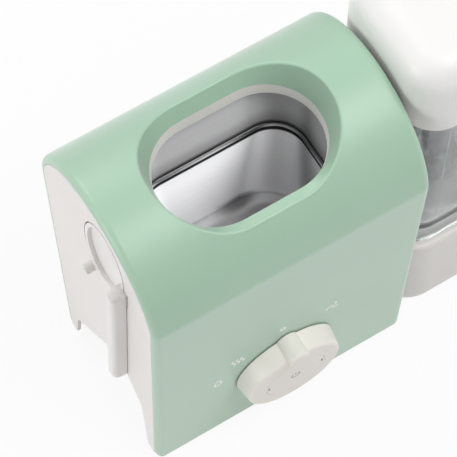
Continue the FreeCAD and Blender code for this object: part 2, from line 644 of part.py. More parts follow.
def base_tray():
    """Bottom tray with a ledge that closes the housing behind the arched foot opening."""
    tray = box(-TRAY_X, TRAY_X, TRAY_Y0, TRAY_Y1, TRAY_FOOT, TRAY_TOP)
    ledge = box(-INNER_X + RIB_T + GAP, INNER_X - RIB_T - GAP, FLANGE_IN, BODY_DEPTH - FLANGE_IN,
                TRAY_TOP - TRAY_FLANGE_T, TRAY_TOP)
    hollow = box(-TRAY_X + TRAY_T, TRAY_X - TRAY_T, TRAY_Y0 + TRAY_T, TRAY_Y1 - TRAY_T, TRAY_FOOT + TRAY_T, TRAY_TOP)
    tray = join(tray, ledge).cut(hollow)
    floor = TRAY_FOOT + TRAY_T
    for x, y in board_places():
        pin = floor + STANDOFF_H + BOARD_T + SEAT
        tray = tray.fuse(post(STANDOFF_R, floor, floor + STANDOFF_H, x, y))
        tray = tray.fuse(post(BOARD_PIN_R, floor, pin, x, y))
    for x, y in post_places():
        tray = tray.cut(post(SCREW_R + RUN, TRAY_FOOT, floor, x, y))
        tray = tray.cut(post(SCREW_HEAD_R + GAP, TRAY_FOOT, TRAY_FOOT + SCREW_HEAD_H / 2, x, y))
    notch = SWITCH_R + GAP * 4
    tray = tray.cut(box(KNOB_X - notch, KNOB_X + notch, 0, TRAY_Y0 + TRAY_T, KNOB_Z - notch - GAP, TRAY_TOP))
    gland = rod(GLAND_R + GAP, V(GLAND_X, TRAY_Y1 - TRAY_T, GLAND_Z), V(GLAND_X, BODY_DEPTH, GLAND_Z))
    return tray.cut(gland).removeSplitter()


def base_feet():
    """Rubber feet under the tray and under the motor base's cover."""
    feet = []
    for x, y, top in foot_places():
        foot = post(FOOT_R, -FOOT_DROP, top - SEAT, x, y)
        feet.append(foot.makeFillet(FOOT_R / 7, level_edges(foot, -FOOT_DROP)))
    return Part.makeCompound(feet)


def board_places():
    """Plan positions of the control board's four standoffs."""
    xs = (BOARD_X0 + BOARD_HOLE_INSET, BOARD_X0 + BOARD_LX - BOARD_HOLE_INSET)
    ys = (BOARD_Y0 + BOARD_HOLE_INSET, BOARD_Y0 + BOARD_LY - BOARD_HOLE_INSET)
    return [(x, y) for x in xs for y in ys]


def control_board():
    """Small power board with a relay, a capacitor and a heat sink."""
    z = TRAY_FOOT + TRAY_T + STANDOFF_H + SEAT
    top = z + BOARD_T
    board = box(BOARD_X0, BOARD_X0 + BOARD_LX, BOARD_Y0, BOARD_Y0 + BOARD_LY, z, top)
    for x, y in board_places():
        board = board.cut(post(BOARD_PIN_R + RUN, z, top, x, y))
    x0, x1 = BOARD_X0 + BOARD_MARGIN, BOARD_X0 + BOARD_LX - BOARD_MARGIN
    y0, y1 = BOARD_Y0 + BOARD_MARGIN, BOARD_Y0 + BOARD_LY - BOARD_MARGIN
    relay = box(x0, x0 + RELAY_LX, y0, y0 + RELAY_LY, top, top + RELAY_H)
    sink = box(x1 - SINK_LX, x1, y0, y0 + SINK_LY, top, top + SINK_H)
    can = post(CAPACITOR_R, top, top + CAPACITOR_H, x1 - CAPACITOR_R, y1 - CAPACITOR_R)
    return join(board, relay, sink, can)


def cord_gland():
    """Bush in the rear wall where the supply cord enters, with a collar inside and outside."""
    wall_out = BODY_DEPTH - front_wall_y(GLAND_Z + GLAND_R) + GAP
    wall_in = BODY_DEPTH - WALL / math.cos(LEAN) - front_wall_y(GLAND_Z - GLAND_R) - GAP
    start = wall_in - GLAND_INNER
    end = wall_out + GLAND_HEAD

    def along(radius, y0, y1):
        return rod(radius, V(GLAND_X, y0, GLAND_Z), V(GLAND_X, y1, GLAND_Z))

    bush = join(along(GLAND_NECK_R, start, end), along(GLAND_R, start, wall_in), along(GLAND_R, wall_out, end))
    return bush.cut(along(GLAND_BORE_R, start, end))


def control_knob():
    """Selector knob: a tapered disc with a half-round pointer ridge, hollow behind its face."""
    back, front = -KNOB_GAP, -KNOB_GAP - KNOB_DEPTH
    disc = Part.makeCone(KNOB_R, KNOB_FACE_R, KNOB_DEPTH, V(0, back, 0), V(0, -1, 0))
    face_edge = [e for e in disc.Edges if abs(e.BoundBox.YMax - front) < 1e-4]
    disc = disc.makeFillet(KNOB_EDGE_R, face_edge)
    nose = front - POINTER_PROUD
    ridge = rod(POINTER_R, V(0, back, POINTER_OUT), V(0, nose, POINTER_OUT))
    ridge_edge = [e for e in ridge.Edges if abs(e.BoundBox.YMax - nose) < 1e-4]
    ridge = ridge.makeFillet(POINTER_EDGE_R, ridge_edge)
    knob = join(disc, ridge)
    floor = front + KNOB_FACE_T
    hollow = rod(KNOB_FACE_R - KNOB_EDGE_R - KNOB_WALL - POINTER_EDGE_R, V(0, back, 0), V(0, floor, 0))
    hub = rod(KNOB_HUB_R, V(0, -NUT_T - 2 * GAP, 0), V(0, floor, 0))
    knob = knob.cut(hollow).fuse(hub)
    knob = knob.cut(rod(SHAFT_R + RUN, V(0, back, 0), V(0, floor, 0)))
    knob = knob.cut(rod(CAP_R + PANEL_GAP, V(0, front, 0), V(0, front + CAP_T + SEAT, 0)))
    return on_front(knob.removeSplitter())


def knob_cap():
    """Thin disc let into the knob's face."""
    front = -KNOB_GAP - KNOB_DEPTH
    return on_front(rod(CAP_R, V(0, front, 0), V(0, front + CAP_T, 0)))


def selector_shaft():
    """Shaft from the knob's hub into the switch."""
    start = -KNOB_GAP - KNOB_DEPTH + KNOB_FACE_T + SEAT
    return on_front(rod(SHAFT_R, V(0, start, 0), V(0, WALL + SWITCH_L, 0)))


def rotary_switch():
    """Rotary switch behind the front wall with a threaded bush through it and three tabs."""
    face = WALL + GAP
    body = rod(SWITCH_R, V(0, face, 0), V(0, face + SWITCH_L, 0))
    bush = rod(SWITCH_BUSH_R, V(0, -SWITCH_BUSH_L + WALL, 0), V(0, face + 1, 0))
    switch = join(body, bush).cut(rod(SHAFT_R + RUN, V(0, -REACH, 0), V(0, face + SWITCH_L, 0)))
    for turn in (90, 210, 330):
        tab = box(TAB_PCR, TAB_PCR + TAB_T, face + SWITCH_L, face + SWITCH_L + TAB_L, -TAB_W / 2, TAB_W / 2)
        tab.rotate(V(0, 0, 0), Y_AXIS, turn)
        switch = switch.fuse(tab)
    return on_front(switch.removeSplitter())


def switch_nut():
    """Hexagon nut that holds the switch to the front wall, under the knob."""
    across = NUT_ACROSS / 2 / math.cos(math.radians(30))
    corners = [V(across * math.cos(math.radians(60 * i)), -SEAT, across * math.sin(math.radians(60 * i)))
               for i in range(7)]
    nut = Part.Face(Part.makePolygon(corners)).extrude(V(0, -NUT_T + SEAT, 0))
    return on_front(nut.cut(rod(SWITCH_BUSH_R + RUN, V(0, REACH, 0), V(0, -REACH, 0))))


def boss_places():
    """Plan positions of the bosses that carry the motor bracket."""
    reach = BOSS_PCR * math.sqrt(0.5)
    return [(AXIS_X + sx * reach, MID_Y + sy * reach) for sx in (-1, 1) for sy in (-1, 1)]


def base_half():
    """Plan of the motor base: middle x and half sizes."""
    x0 = HALF_WIDTH + GAP
    x1 = AXIS_X + LID_X + BASE_OVER
    return (x0 + x1) / 2, (x1 - x0) / 2, LID_Y + BASE_OVER - LID_BESIDE_BODY


def cover_places():
    """Plan positions of the cover screws, inside the base's corners."""
    mid, half_x, half_y = base_half()
    inset = BASE_WALL + BOSS_R + 3 * GAP + BASE_R * (1 - math.sqrt(0.5))
    return [(mid + sx * (half_x - inset), MID_Y + sy * (half_y - inset)) for sx in (-1, 1) for sy in (-1, 1)]


def motor_base():
    """White housing under the bowl with its deck, locating ring and bosses."""
    mid, half_x, half_y = base_half()
    whole = block(half_x, half_y, BASE_R, BASE_FOOT, DECK_Z, mid, MID_Y)
    whole = whole.makeFillet(BASE_EDGE_R, level_edges(whole, DECK_Z))
    hollow = block(half_x - BASE_WALL, half_y - BASE_WALL, BASE_R - BASE_WALL, BASE_FOOT, DECK_Z - DECK_T, mid, MID_Y)
    base = whole.cut(hollow)
    base = base.fuse(tube(SPIGOT_R, SPIGOT_R - SPIGOT_WALL, DECK_Z - DECK_T / 2, DECK_Z + SPIGOT_H, AXIS_X, MID_Y))
    for x, y in boss_places():
        base = base.fuse(tube(BOSS_R, SCREW_R + RUN, BRACKET_TOP + SEAT, DECK_Z - DECK_T / 2, x, y))
    for x, y in cover_places():
        foot = BASE_FOOT + COVER_T + SEAT
        base = base.fuse(post(BOSS_R, foot, DECK_Z - DECK_T / 2, x, y))
        base = base.cut(post(SCREW_R + RUN, foot, foot + COVER_SCREW_L, x, y))
    base = base.cut(post(SEAL_RING_R + RUN, DECK_Z - DECK_T, DECK_Z, AXIS_X, MID_Y))
    for y in (MID_Y - BRIDGE_Y, MID_Y + BRIDGE_Y):
        start = V(HALF_WIDTH + GAP, y, BRIDGE_Z)
        base = base.fuse(rod(BOSS_R, start + X_AXIS * (BASE_WALL / 2), start + X_AXIS * BRIDGE_SCREW_L))
        base = base.cut(rod(SCREW_R + RUN, start, start + X_AXIS * (BRIDGE_SCREW_L + REACH)))
    return base.removeSplitter()


def motor_base_cover():
    """Plate that closes the motor base from below."""
    mid, half_x, half_y = base_half()
    space = BASE_WALL + GAP
    cover = block(half_x - space, half_y - space, BASE_R - space, BASE_FOOT, BASE_FOOT + COVER_T, mid, MID_Y)
    for x, y in cover_places():
        cover = cover.cut(post(SCREW_R + RUN, BASE_FOOT, BASE_FOOT + COVER_T, x, y))
        cover = cover.cut(post(SCREW_HEAD_R + GAP, BASE_FOOT, BASE_FOOT + SCREW_HEAD_H / 2, x, y))
    return cover


def motor_bracket():
    """Round plate that hangs the motor under the deck."""
    foot = BRACKET_TOP - BRACKET_T
    plate = tube(BRACKET_R, BEARING_R + BEARING_WALL + GAP, foot, BRACKET_TOP, AXIS_X, MID_Y)
    for x, y in boss_places() + can_screw_places():
        plate = plate.cut(post(SCREW_R + RUN, foot, BRACKET_TOP, x, y))
    return plate


def can_screw_places():
    """Plan positions of the two screws that hold the can to the bracket."""
    reach = (BEARING_R + BEARING_WALL + CAN_R) / 2
    return [(AXIS_X, MID_Y + side * reach) for side in (-1, 1)]


def motor_can():
    """Steel cup of the motor with the upper bearing's seat on top."""
    cup = tube(CAN_R, CAN_R - CAN_T, CAN_FOOT, CAN_TOP - CAN_T, AXIS_X, MID_Y)
    lid = post(CAN_R, CAN_TOP - CAN_T, CAN_TOP, AXIS_X, MID_Y)
    seat = post(BEARING_R + BEARING_WALL, CAN_TOP - CAN_T, CAN_TOP + BEARING_H, AXIS_X, MID_Y)
    can = join(cup, lid, seat)
    can = can.cut(post(BEARING_R + RUN, CAN_TOP, CAN_TOP + BEARING_H, AXIS_X, MID_Y))
    can = can.cut(post(BEARING_R - BEARING_WALL, CAN_TOP - CAN_T, CAN_TOP, AXIS_X, MID_Y))
    for x, y in can_screw_places():
        can = can.cut(post(SCREW_R + RUN, CAN_TOP - CAN_T, CAN_TOP, x, y))
    return can


def motor_end_bell():
    """Plate that closes the can from below and holds the lower bearing."""
    top = CAN_FOOT - SEAT
    plate = post(CAN_R, top - BELL_T, top, AXIS_X, MID_Y)
    seat = post(BEARING_R + BEARING_WALL, top - BEARING_H - CAN_T, top, AXIS_X, MID_Y)
    bell = join(plate, seat)
    bell = bell.cut(post(BEARING_R + RUN, top - BEARING_H, top, AXIS_X, MID_Y))
    return bell.cut(post(BEARING_R - BEARING_WALL, top - BEARING_H - CAN_T, top, AXIS_X, MID_Y))


def bearing(z0):
    """Plain sintered bearing."""
    return tube(BEARING_R, SHAFT_R + RUN, z0, z0 + BEARING_H - SEAT, AXIS_X, MID_Y)


def motor_magnets():
    """Two curved magnets on the inside of the can."""
    foot = CAN_FOOT + (CAN_H - CAN_T - MAGNET_H) / 2
    outer = CAN_R - CAN_T - SEAT
    ring = tube(outer, outer - MAGNET_T, foot, foot + MAGNET_H, AXIS_X, MID_Y)
    half_gap = outer * math.sin(math.radians((180 - MAGNET_SPAN) / 2))
    split = box(AXIS_X - 2 * CAN_R, AXIS_X + 2 * CAN_R, MID_Y - half_gap, MID_Y + half_gap, foot, foot + MAGNET_H)
    return Part.makeCompound(ring.cut(split).Solids)


def rotor_core():
    """Slotted laminated core on the motor shaft."""
    foot = CAN_FOOT + (CAN_H - CAN_T - ROTOR_H) / 2
    core = tube(ROTOR_R, SHAFT_R + RUN, foot, foot + ROTOR_H, AXIS_X, MID_Y)
    for i in range(ROTOR_SLOTS):
        slot = box(ROTOR_R - ROTOR_SLOT_DEPTH, ROTOR_R + REACH, -ROTOR_SLOT_W / 2, ROTOR_SLOT_W / 2,
                   foot, foot + ROTOR_H)
        slot.rotate(V(0, 0, 0), Z_AXIS, 360 / ROTOR_SLOTS * i)
        slot.translate(V(AXIS_X, MID_Y, 0))
        core = core.cut(slot)
    return core


def comm_foot():
    """Lower end of the commutator."""
    return CAN_FOOT + CARD_T + 2 * GAP


def commutator():
    """Copper commutator under the core."""
    return tube(COMM_R, SHAFT_R + RUN, comm_foot(), comm_foot() + COMM_H, AXIS_X, MID_Y)


def brush_card():
    """Insulating card on the end bell with two carbon brushes."""
    card = tube(CAN_R - CAN_T - GAP, COMM_R + GAP, CAN_FOOT, CAN_FOOT + CARD_T, AXIS_X, MID_Y)
    for side in (-1, 1):
        start = AXIS_X + side * (COMM_R + GAP)
        end = start + side * BRUSH_L
        brush = box(min(start, end), max(start, end), MID_Y - BRUSH_W / 2, MID_Y + BRUSH_W / 2,
                    CAN_FOOT + CARD_T / 2, comm_foot() + BRUSH_H)
        card = card.fuse(brush)
    return card.removeSplitter()


def disc_foot():
    """Lower face of the drive coupling."""
    return DECK_Z + 2 * GAP


def motor_shaft():
    """Shaft through both bearings up into the drive coupling."""
    foot = CAN_FOOT - SEAT - BEARING_H + SEAT
    return post(SHAFT_R, foot, disc_foot() + DISC_T, AXIS_X, MID_Y)


def cross(length, width, z0, z1):
    """Two crossed bars about the blender's axis."""
    half_l, half_w = length / 2, width / 2
    bars = join(box(-half_l, half_l, -half_w, half_w, z0, z1), box(-half_w, half_w, -half_l, half_l, z0, z1))
    bars.translate(V(AXIS_X, MID_Y, 0))
    return bars


def drive_coupling():
    """Disc on the motor shaft with a cross-shaped driver on top."""
    foot = disc_foot()
    disc = post(DISC_R, foot, foot + DISC_T, AXIS_X, MID_Y)
    driver = cross(CROSS_L, CROSS_W, foot + DISC_T, foot + DISC_T + CROSS_H)
    return join(disc, driver).cut(post(SHAFT_R + RUN, foot, foot + DISC_T + SEAT, AXIS_X, MID_Y))


def shaft_seal():
    """Rubber ring in the deck round the motor shaft."""
    return tube(SEAL_RING_R, SHAFT_R + GAP, DECK_Z - DECK_T, DECK_Z, AXIS_X, MID_Y)


def cup_foot():
    """Lower face of the driven coupling."""
    return disc_foot() + DISC_T + GAP


def driven_coupling():
    """Cup under the bowl with a cross-shaped socket that drops over the driver."""
    foot = cup_foot()
    top = BOWL_FLOOR - GAP
    cup = post(CUP_R, foot, top, AXIS_X, MID_Y)
    socket = cross(CROSS_L + 2 * CROSS_FIT, CROSS_W + 2 * CROSS_FIT, foot, foot + CROSS_H + CROSS_FIT)
    return cup.cut(socket).cut(post(BLADE_SHAFT_R + RUN, foot, top, AXIS_X, MID_Y))


def boss_top():
    """Top of the boss in the bowl's floor."""
    return BOWL_FLOOR + BOWL_FLOOR_T + BOSS_TOP


def mixing_bowl():
    """Clear bowl with a skirt below its floor and a boss for the blade shaft."""
    bowl = block(BOWL_X, BOWL_Y, BOWL_R, BOWL_FOOT, BOWL_TOP, AXIS_X, MID_Y)
    floor = BOWL_FLOOR + BOWL_FLOOR_T
    inner = (BOWL_X - BOWL_WALL, BOWL_Y - BOWL_WALL, BOWL_R - BOWL_WALL)
    inside = block(*inner, floor, BOWL_TOP, AXIS_X, MID_Y)
    inside = inside.makeFillet(BOWL_R / 4, level_edges(inside, floor))
    below = block(*inner, BOWL_FOOT, BOWL_FLOOR, AXIS_X, MID_Y)
    bowl = bowl.cut(inside).cut(below)
    bowl = join(bowl, post(BUSH_R + BOSS_WALL, BOWL_FLOOR, boss_top(), AXIS_X, MID_Y))
    return bowl.cut(post(BUSH_R + RUN, BOWL_FLOOR, boss_top(), AXIS_X, MID_Y))


def bowl_bush():
    """Bearing bush of the blade shaft in the bowl's boss."""
    return tube(BUSH_R, BLADE_SHAFT_R + RUN, BOWL_FLOOR, boss_top(), AXIS_X, MID_Y)


def bowl_handle():
    """White D-shaped handle on the far side of the bowl."""
    x0 = AXIS_X + BOWL_X + SEAT
    x1 = x0 + GRIP_OUT
    y0, y1 = MID_Y - GRIP_W / 2, MID_Y + GRIP_W / 2
    grip = box(x0, x1, y0, y1, GRIP_BOTTOM, GRIP_TOP)
    far = [e for e in edges_along(grip, Y_AXIS) if e.BoundBox.XMin > x1 - 1e-4]
    grip = grip.makeFillet(GRIP_R, far)
    hole = box(x0 - REACH, x1 - GRIP_T, y0, y1, GRIP_BOTTOM + GRIP_T, GRIP_TOP - GRIP_T)
    bend = [e for e in edges_along(hole, Y_AXIS) if e.BoundBox.XMin > x0]
    grip = grip.cut(hole.makeFillet(GRIP_R / 2, bend))
    sides = [e for e in grip.Edges if e.BoundBox.YLength < 1e-4 and e.BoundBox.XMax > x0 + 1e-4]
    return grip.makeFillet(GRIP_EDGE_R, sides)


def blade_collar():
    """Spacer between the bowl's boss and the blade."""
    foot = boss_top() + GAP
    return tube(COLLAR_R, BLADE_SHAFT_R + RUN, foot, foot + COLLAR_H, AXIS_X, MID_Y)


def blade_foot():
    """Underside of the blade's centre."""
    return boss_top() + GAP + COLLAR_H + SEAT


def blade():
    """Two-armed steel blade, one arm bent up and one bent down."""
    z = blade_foot()
    plate = post(COLLAR_R, z, z + BLADE_T, 0, 0)
    half = BLADE_W / 2
    outline = [(0, -half), (BLADE_LEN - BLADE_W, -half), (BLADE_LEN, half - BLADE_TIP),
               (BLADE_LEN - BLADE_TIP, half), (0, half)]
    for turn, tilt in ((0, BLADE_TILT_UP), (180, BLADE_TILT_DOWN)):
        arm = Part.Face(Part.makePolygon([V(x, y, z) for x, y in outline + outline[:1]])).extrude(V(0, 0, BLADE_T))
        arm = arm.cut(box(-REACH, BLADE_ROOT, -BLADE_W, BLADE_W, z - REACH, z + BLADE_T + REACH))
        arm.rotate(V(BLADE_ROOT, 0, z + BLADE_T / 2), Y_AXIS, -tilt)
        arm.rotate(V(0, 0, 0), Z_AXIS, turn)
        plate = plate.fuse(arm)
    plate = plate.cut(post(COLLAR_R, z - REACH, z, 0, 0)).cut(post(COLLAR_R, z + BLADE_T, z + BLADE_T + REACH, 0, 0))
    plate = plate.cut(post(BLADE_SHAFT_R + RUN, z, z + BLADE_T, 0, 0)).removeSplitter()
    plate.translate(V(AXIS_X, MID_Y, 0))
    return plate


def blade_cap():
    """Rounded nut on top of the blade."""
    foot = blade_foot() + BLADE_T + SEAT
    cap = post(COLLAR_R, foot, foot + BLADE_CAP_H, AXIS_X, MID_Y)
    cap = cap.makeFillet(COLLAR_R / 2, level_edges(cap, foot + BLADE_CAP_H))
    return cap.cut(post(BLADE_SHAFT_R + RUN, foot, foot + BLADE_CAP_H / 2, AXIS_X, MID_Y))


def blade_shaft():
    """Shaft from the driven coupling through the bush into the cap."""
    start = cup_foot() + CROSS_H + CROSS_FIT + GAP
    end = blade_foot() + BLADE_T + BLADE_CAP_H / 2
    return post(BLADE_SHAFT_R, start, end, AXIS_X, MID_Y)


def lid_prism(inset, z0, z1, crown):
    """Lid form moved in by an inset, with a rounded top edge."""
    form = block(LID_X - inset, LID_Y - inset, LID_R - inset, z0, z1, AXIS_X, MID_Y)
    return form.makeFillet(crown, level_edges(form, z1))


def bowl_lid():
    """Tall white lid with an inner ledge that rests on the bowl's rim."""
    foot = BOWL_TOP - LID_SKIRT
    lid = lid_prism(0, foot, LID_TOP, LID_CROWN_R)
    lid = lid.cut(lid_prism(LID_WALL, foot, LID_TOP - LID_WALL, LID_CROWN_R - LID_WALL))
    ledge_foot = BOWL_TOP + GAP
    edge = LID_WALL / 2
    ledge = block(LID_X - edge, LID_Y - edge, LID_R - edge, ledge_foot, ledge_foot + LID_LEDGE_T, AXIS_X, MID_Y)
    into = LID_WALL + LID_FIT + BOWL_WALL + GAP + LID_SEAL_T / 2
    hole = block(LID_X - into, LID_Y - into, LID_R - into, ledge_foot, ledge_foot + LID_LEDGE_T, AXIS_X, MID_Y)
    return join(lid, ledge.cut(hole))


def lid_seal():
    """Soft ring under the lid's ledge, just inside the bowl's mouth."""
    top = BOWL_TOP + GAP - SEAT
    out = BOWL_WALL + GAP
    inn = out + LID_SEAL_T
    ring = block(BOWL_X - out, BOWL_Y - out, BOWL_R - out, top - LID_SEAL_H, top, AXIS_X, MID_Y)
    return ring.cut(block(BOWL_X - inn, BOWL_Y - inn, BOWL_R - inn, top - LID_SEAL_H, top, AXIS_X, MID_Y))


def screw(length, head_down):
    """Screw on the origin: its shank points up from the head, or the head lies on top."""
    shank = post(SCREW_R, 0, length, 0, 0)
    if head_down:
        return join(shank, post(SCREW_HEAD_R, -SCREW_HEAD_H, 0, 0, 0))
    return join(shank, post(SCREW_HEAD_R, length, length + SCREW_HEAD_H, 0, 0))


def screws_at(places, z, length, head_down):
    """Group of equal upright screws."""
    group = []
    for x, y in places:
        one = screw(length, head_down)
        one.translate(V(x, y, z))
        group.append(one)
    return Part.makeCompound(group)


def tray_screws():
    """Screws up through the tray into the tank frame's posts."""
    return screws_at(post_places(), TRAY_FOOT + SCREW_HEAD_H / 2 - SEAT, TRAY_SCREW_L - SEAT, True)


def cover_screws():
    """Screws up through the cover into the motor base."""
    return screws_at(cover_places(), BASE_FOOT + SCREW_HEAD_H / 2 - SEAT, COVER_SCREW_L - SEAT, True)


def bracket_screws():
    """Screws up through the motor bracket into the deck's bosses."""
    foot = BRACKET_TOP - BRACKET_T - SEAT
    return screws_at(boss_places(), foot, DECK_Z - DECK_T - foot - GAP, True)


def can_screws():
    """Screws down through the bracket into the motor can."""
    length = BRACKET_T + CAN_T + SEAT
    return screws_at(can_screw_places(), BRACKET_TOP - length + SEAT, length, False)


def bridge_screws():
    """Screws that tie the motor base to the right side panel."""
    group = []
    for y in (MID_Y - BRIDGE_Y, MID_Y + BRIDGE_Y):
        one = screw(BRIDGE_SCREW_L, True)
        one.rotate(V(0, 0, 0), Y_AXIS, 90)
        one.translate(V(HALF_WIDTH - PANEL_T - SEAT, y, BRIDGE_Z))
        group.append(one)
    return Part.makeCompound(group)


BUILDERS = [outer_wrap, left_side_panel, right_side_panel, spatula, tank_rim_seal, steam_tank, tank_frame,
            heating_plate, thermostat, thermal_fuse, base_tray, base_feet, control_board, cord_gland,
            control_knob, knob_cap, selector_shaft, rotary_switch, switch_nut, motor_base, motor_base_cover,
            motor_bracket, motor_can, motor_end_bell, motor_magnets, rotor_core, commutator, brush_card,
            motor_shaft, drive_coupling, shaft_seal, driven_coupling, mixing_bowl, bowl_bush, bowl_handle,
            blade_collar, blade, blade_cap, blade_shaft, bowl_lid, lid_seal, tray_screws, cover_screws,
            bracket_screws, can_screws, bridge_screws]


def main():
    """Build every piece, set the origin under the middle of the whole and write the files."""
    pieces = {build.__name__: build() for build in BUILDERS}
    pieces["heater_element"] = heater_element(0)
    pieces["upper_bearing"] = bearing(CAN_TOP)
    pieces["lower_bearing"] = bearing(CAN_FOOT - SEAT - BEARING_H)
    limits = Part.makeCompound(list(pieces.values())).optimalBoundingBox(False)
    shift = V(-limits.Center.x, -limits.Center.y, -limits.ZMin)
    os.makedirs("parts", exist_ok=True)
    for name, shape in pieces.items():
        shape.translate(shift)
        shape.exportStep("parts/" + name + ".step")
    print("whole", round(limits.XLength, 2), round(limits.YLength, 2), round(limits.ZLength, 2))
    print("shift", round(shift.x, 3), round(shift.y, 3), round(shift.z, 3))


main()
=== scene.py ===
"""Looks of a countertop steam cooker and blender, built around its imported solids."""
import logging
import math
from abc import ABC, abstractmethod
from dataclasses import dataclass
from enum import Enum
from typing import ClassVar, Dict, List, Optional, Sequence, Tuple

import bmesh
import bpy
from mathutils import Matrix, Vector


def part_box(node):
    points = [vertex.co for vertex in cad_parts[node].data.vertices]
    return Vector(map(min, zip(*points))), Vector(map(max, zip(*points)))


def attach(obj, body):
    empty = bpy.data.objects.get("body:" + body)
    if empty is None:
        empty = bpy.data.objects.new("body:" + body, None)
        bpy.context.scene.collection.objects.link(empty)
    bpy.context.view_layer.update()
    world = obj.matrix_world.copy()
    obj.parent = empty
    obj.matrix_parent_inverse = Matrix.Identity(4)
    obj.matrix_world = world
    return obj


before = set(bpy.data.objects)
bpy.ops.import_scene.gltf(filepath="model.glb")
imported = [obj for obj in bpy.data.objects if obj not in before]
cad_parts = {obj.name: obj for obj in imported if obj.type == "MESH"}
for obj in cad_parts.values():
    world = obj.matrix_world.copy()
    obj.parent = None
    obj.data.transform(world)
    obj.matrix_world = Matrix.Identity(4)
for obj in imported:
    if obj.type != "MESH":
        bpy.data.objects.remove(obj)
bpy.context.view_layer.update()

LOG = logging.getLogger("cooker")

Pair = Tuple[float, float]
Triple = Tuple[float, float, float]
Colour = Tuple[float, float, float, float]
Line = List[Pair]

MM = 0.001
HOUSING_DEPTH = 110.4 * MM
# The front wall leans out by this run over this rise, both in millimetres.
WALL_RUN, WALL_RISE = 7.2, 202.0
WALL_LEAN = math.atan2(WALL_RUN, WALL_RISE)
# A print's underside and top, in millimetres above the surface that carries it.
SKIN, INK = 0.02, 0.06
MERGE_DISTANCE = 0.001 * MM
SHARP_ANGLE = math.radians(35.0)
RIGHT = Vector((1.0, 0.0, 0.0))
UP = Vector((0.0, 0.0, 1.0))
FORWARD = Vector((0.0, -1.0, 0.0))
WHITE = (1.0, 1.0, 1.0, 1.0)


def linear(code: str) -> Colour:
    """Turn an sRGB hex colour into linear light.

    Args:
        code: Six hex digits, with or without a leading hash sign.

    Returns:
        Linear red, green, blue and an alpha of one.
    """
    digits = code.lstrip("#")
    parts = [int(digits[i:i + 2], 16) / 255 for i in (0, 2, 4)]
    light = [c / 12.92 if c <= 0.04045 else ((c + 0.055) / 1.055) ** 2.4 for c in parts]
    return light[0], light[1], light[2], 1.0


def add_node(tree: bpy.types.NodeTree, kind: str, settings: Optional[dict] = None,
             values: Optional[dict] = None, links: Optional[dict] = None) -> bpy.types.Node:
    """Add one node with its settings, socket values and incoming links.

    Args:
        tree: Node tree that gets the node.
        kind: Blender's name of the node type.
        settings: Attributes of the node.
        values: Default values by input name or number.
        links: Source sockets by input name or number.

    Returns:
        The new node.
    """
    node = tree.nodes.new(kind)
    for key, value in (settings or {}).items():
        setattr(node, key, value)
    for key, value in (values or {}).items():
        node.inputs[key].default_value = value
    for key, source in (links or {}).items():
        tree.links.new(source, node.inputs[key])
    return node


def per_mm(size_mm: float) -> float:
    """Texture scale at which one cell of a pattern measures size_mm."""
    return 1000.0 / size_mm


@dataclass(frozen=True)
class Surface:
    """A material while it is being made: its nodes, its shader and the place of each point."""

    tree: bpy.types.NodeTree
    shader: bpy.types.Node
    place: bpy.types.NodeSocket

    def noise(self, size_mm: float, detail: float) -> bpy.types.NodeSocket:
        """Give an even noise.

        Args:
            size_mm: Size of its cells in millimetres.
            detail: Number of finer layers in it.

        Returns:
            The noise's strength, from 0 to 1.
        """
        node = add_node(self.tree, "ShaderNodeTexNoise", None, {"Scale": per_mm(size_mm), "Detail": detail},
                        {"Vector": self.place})
        return node.outputs["Fac"]

    def set_colour(self, colour: bpy.types.NodeSocket) -> None:
        """Let a socket give the shader its colour."""
        self.tree.links.new(colour, self.shader.inputs["Base Color"])

    def vary_gloss(self, pattern: bpy.types.NodeSocket, middle: float, spread: float) -> None:
        """Let a pattern vary the roughness.

        Args:
            pattern: Pattern from 0 to 1.
            middle: Roughness in the middle of the range.
            spread: Change of roughness to either side.
        """
        gloss = add_node(self.tree, "ShaderNodeMapRange", None,
                         {"To Min": middle - spread, "To Max": middle + spread}, {"Value": pattern})
        self.tree.links.new(gloss.outputs["Result"], self.shader.inputs["Roughness"])

    def raise_relief(self, pattern: bpy.types.NodeSocket, strength: float, depth_mm: float) -> None:
        """Let a pattern tilt the surface.

        Args:
            pattern: Height from 0 to 1.
            strength: Share of the relief that shows.
            depth_mm: Depth of the full relief in millimetres.
        """
        bump = add_node(self.tree, "ShaderNodeBump", None,
                        {"Strength": strength, "Distance": depth_mm * MM}, {"Height": pattern})
        self.tree.links.new(bump.outputs["Normal"], self.shader.inputs["Normal"])


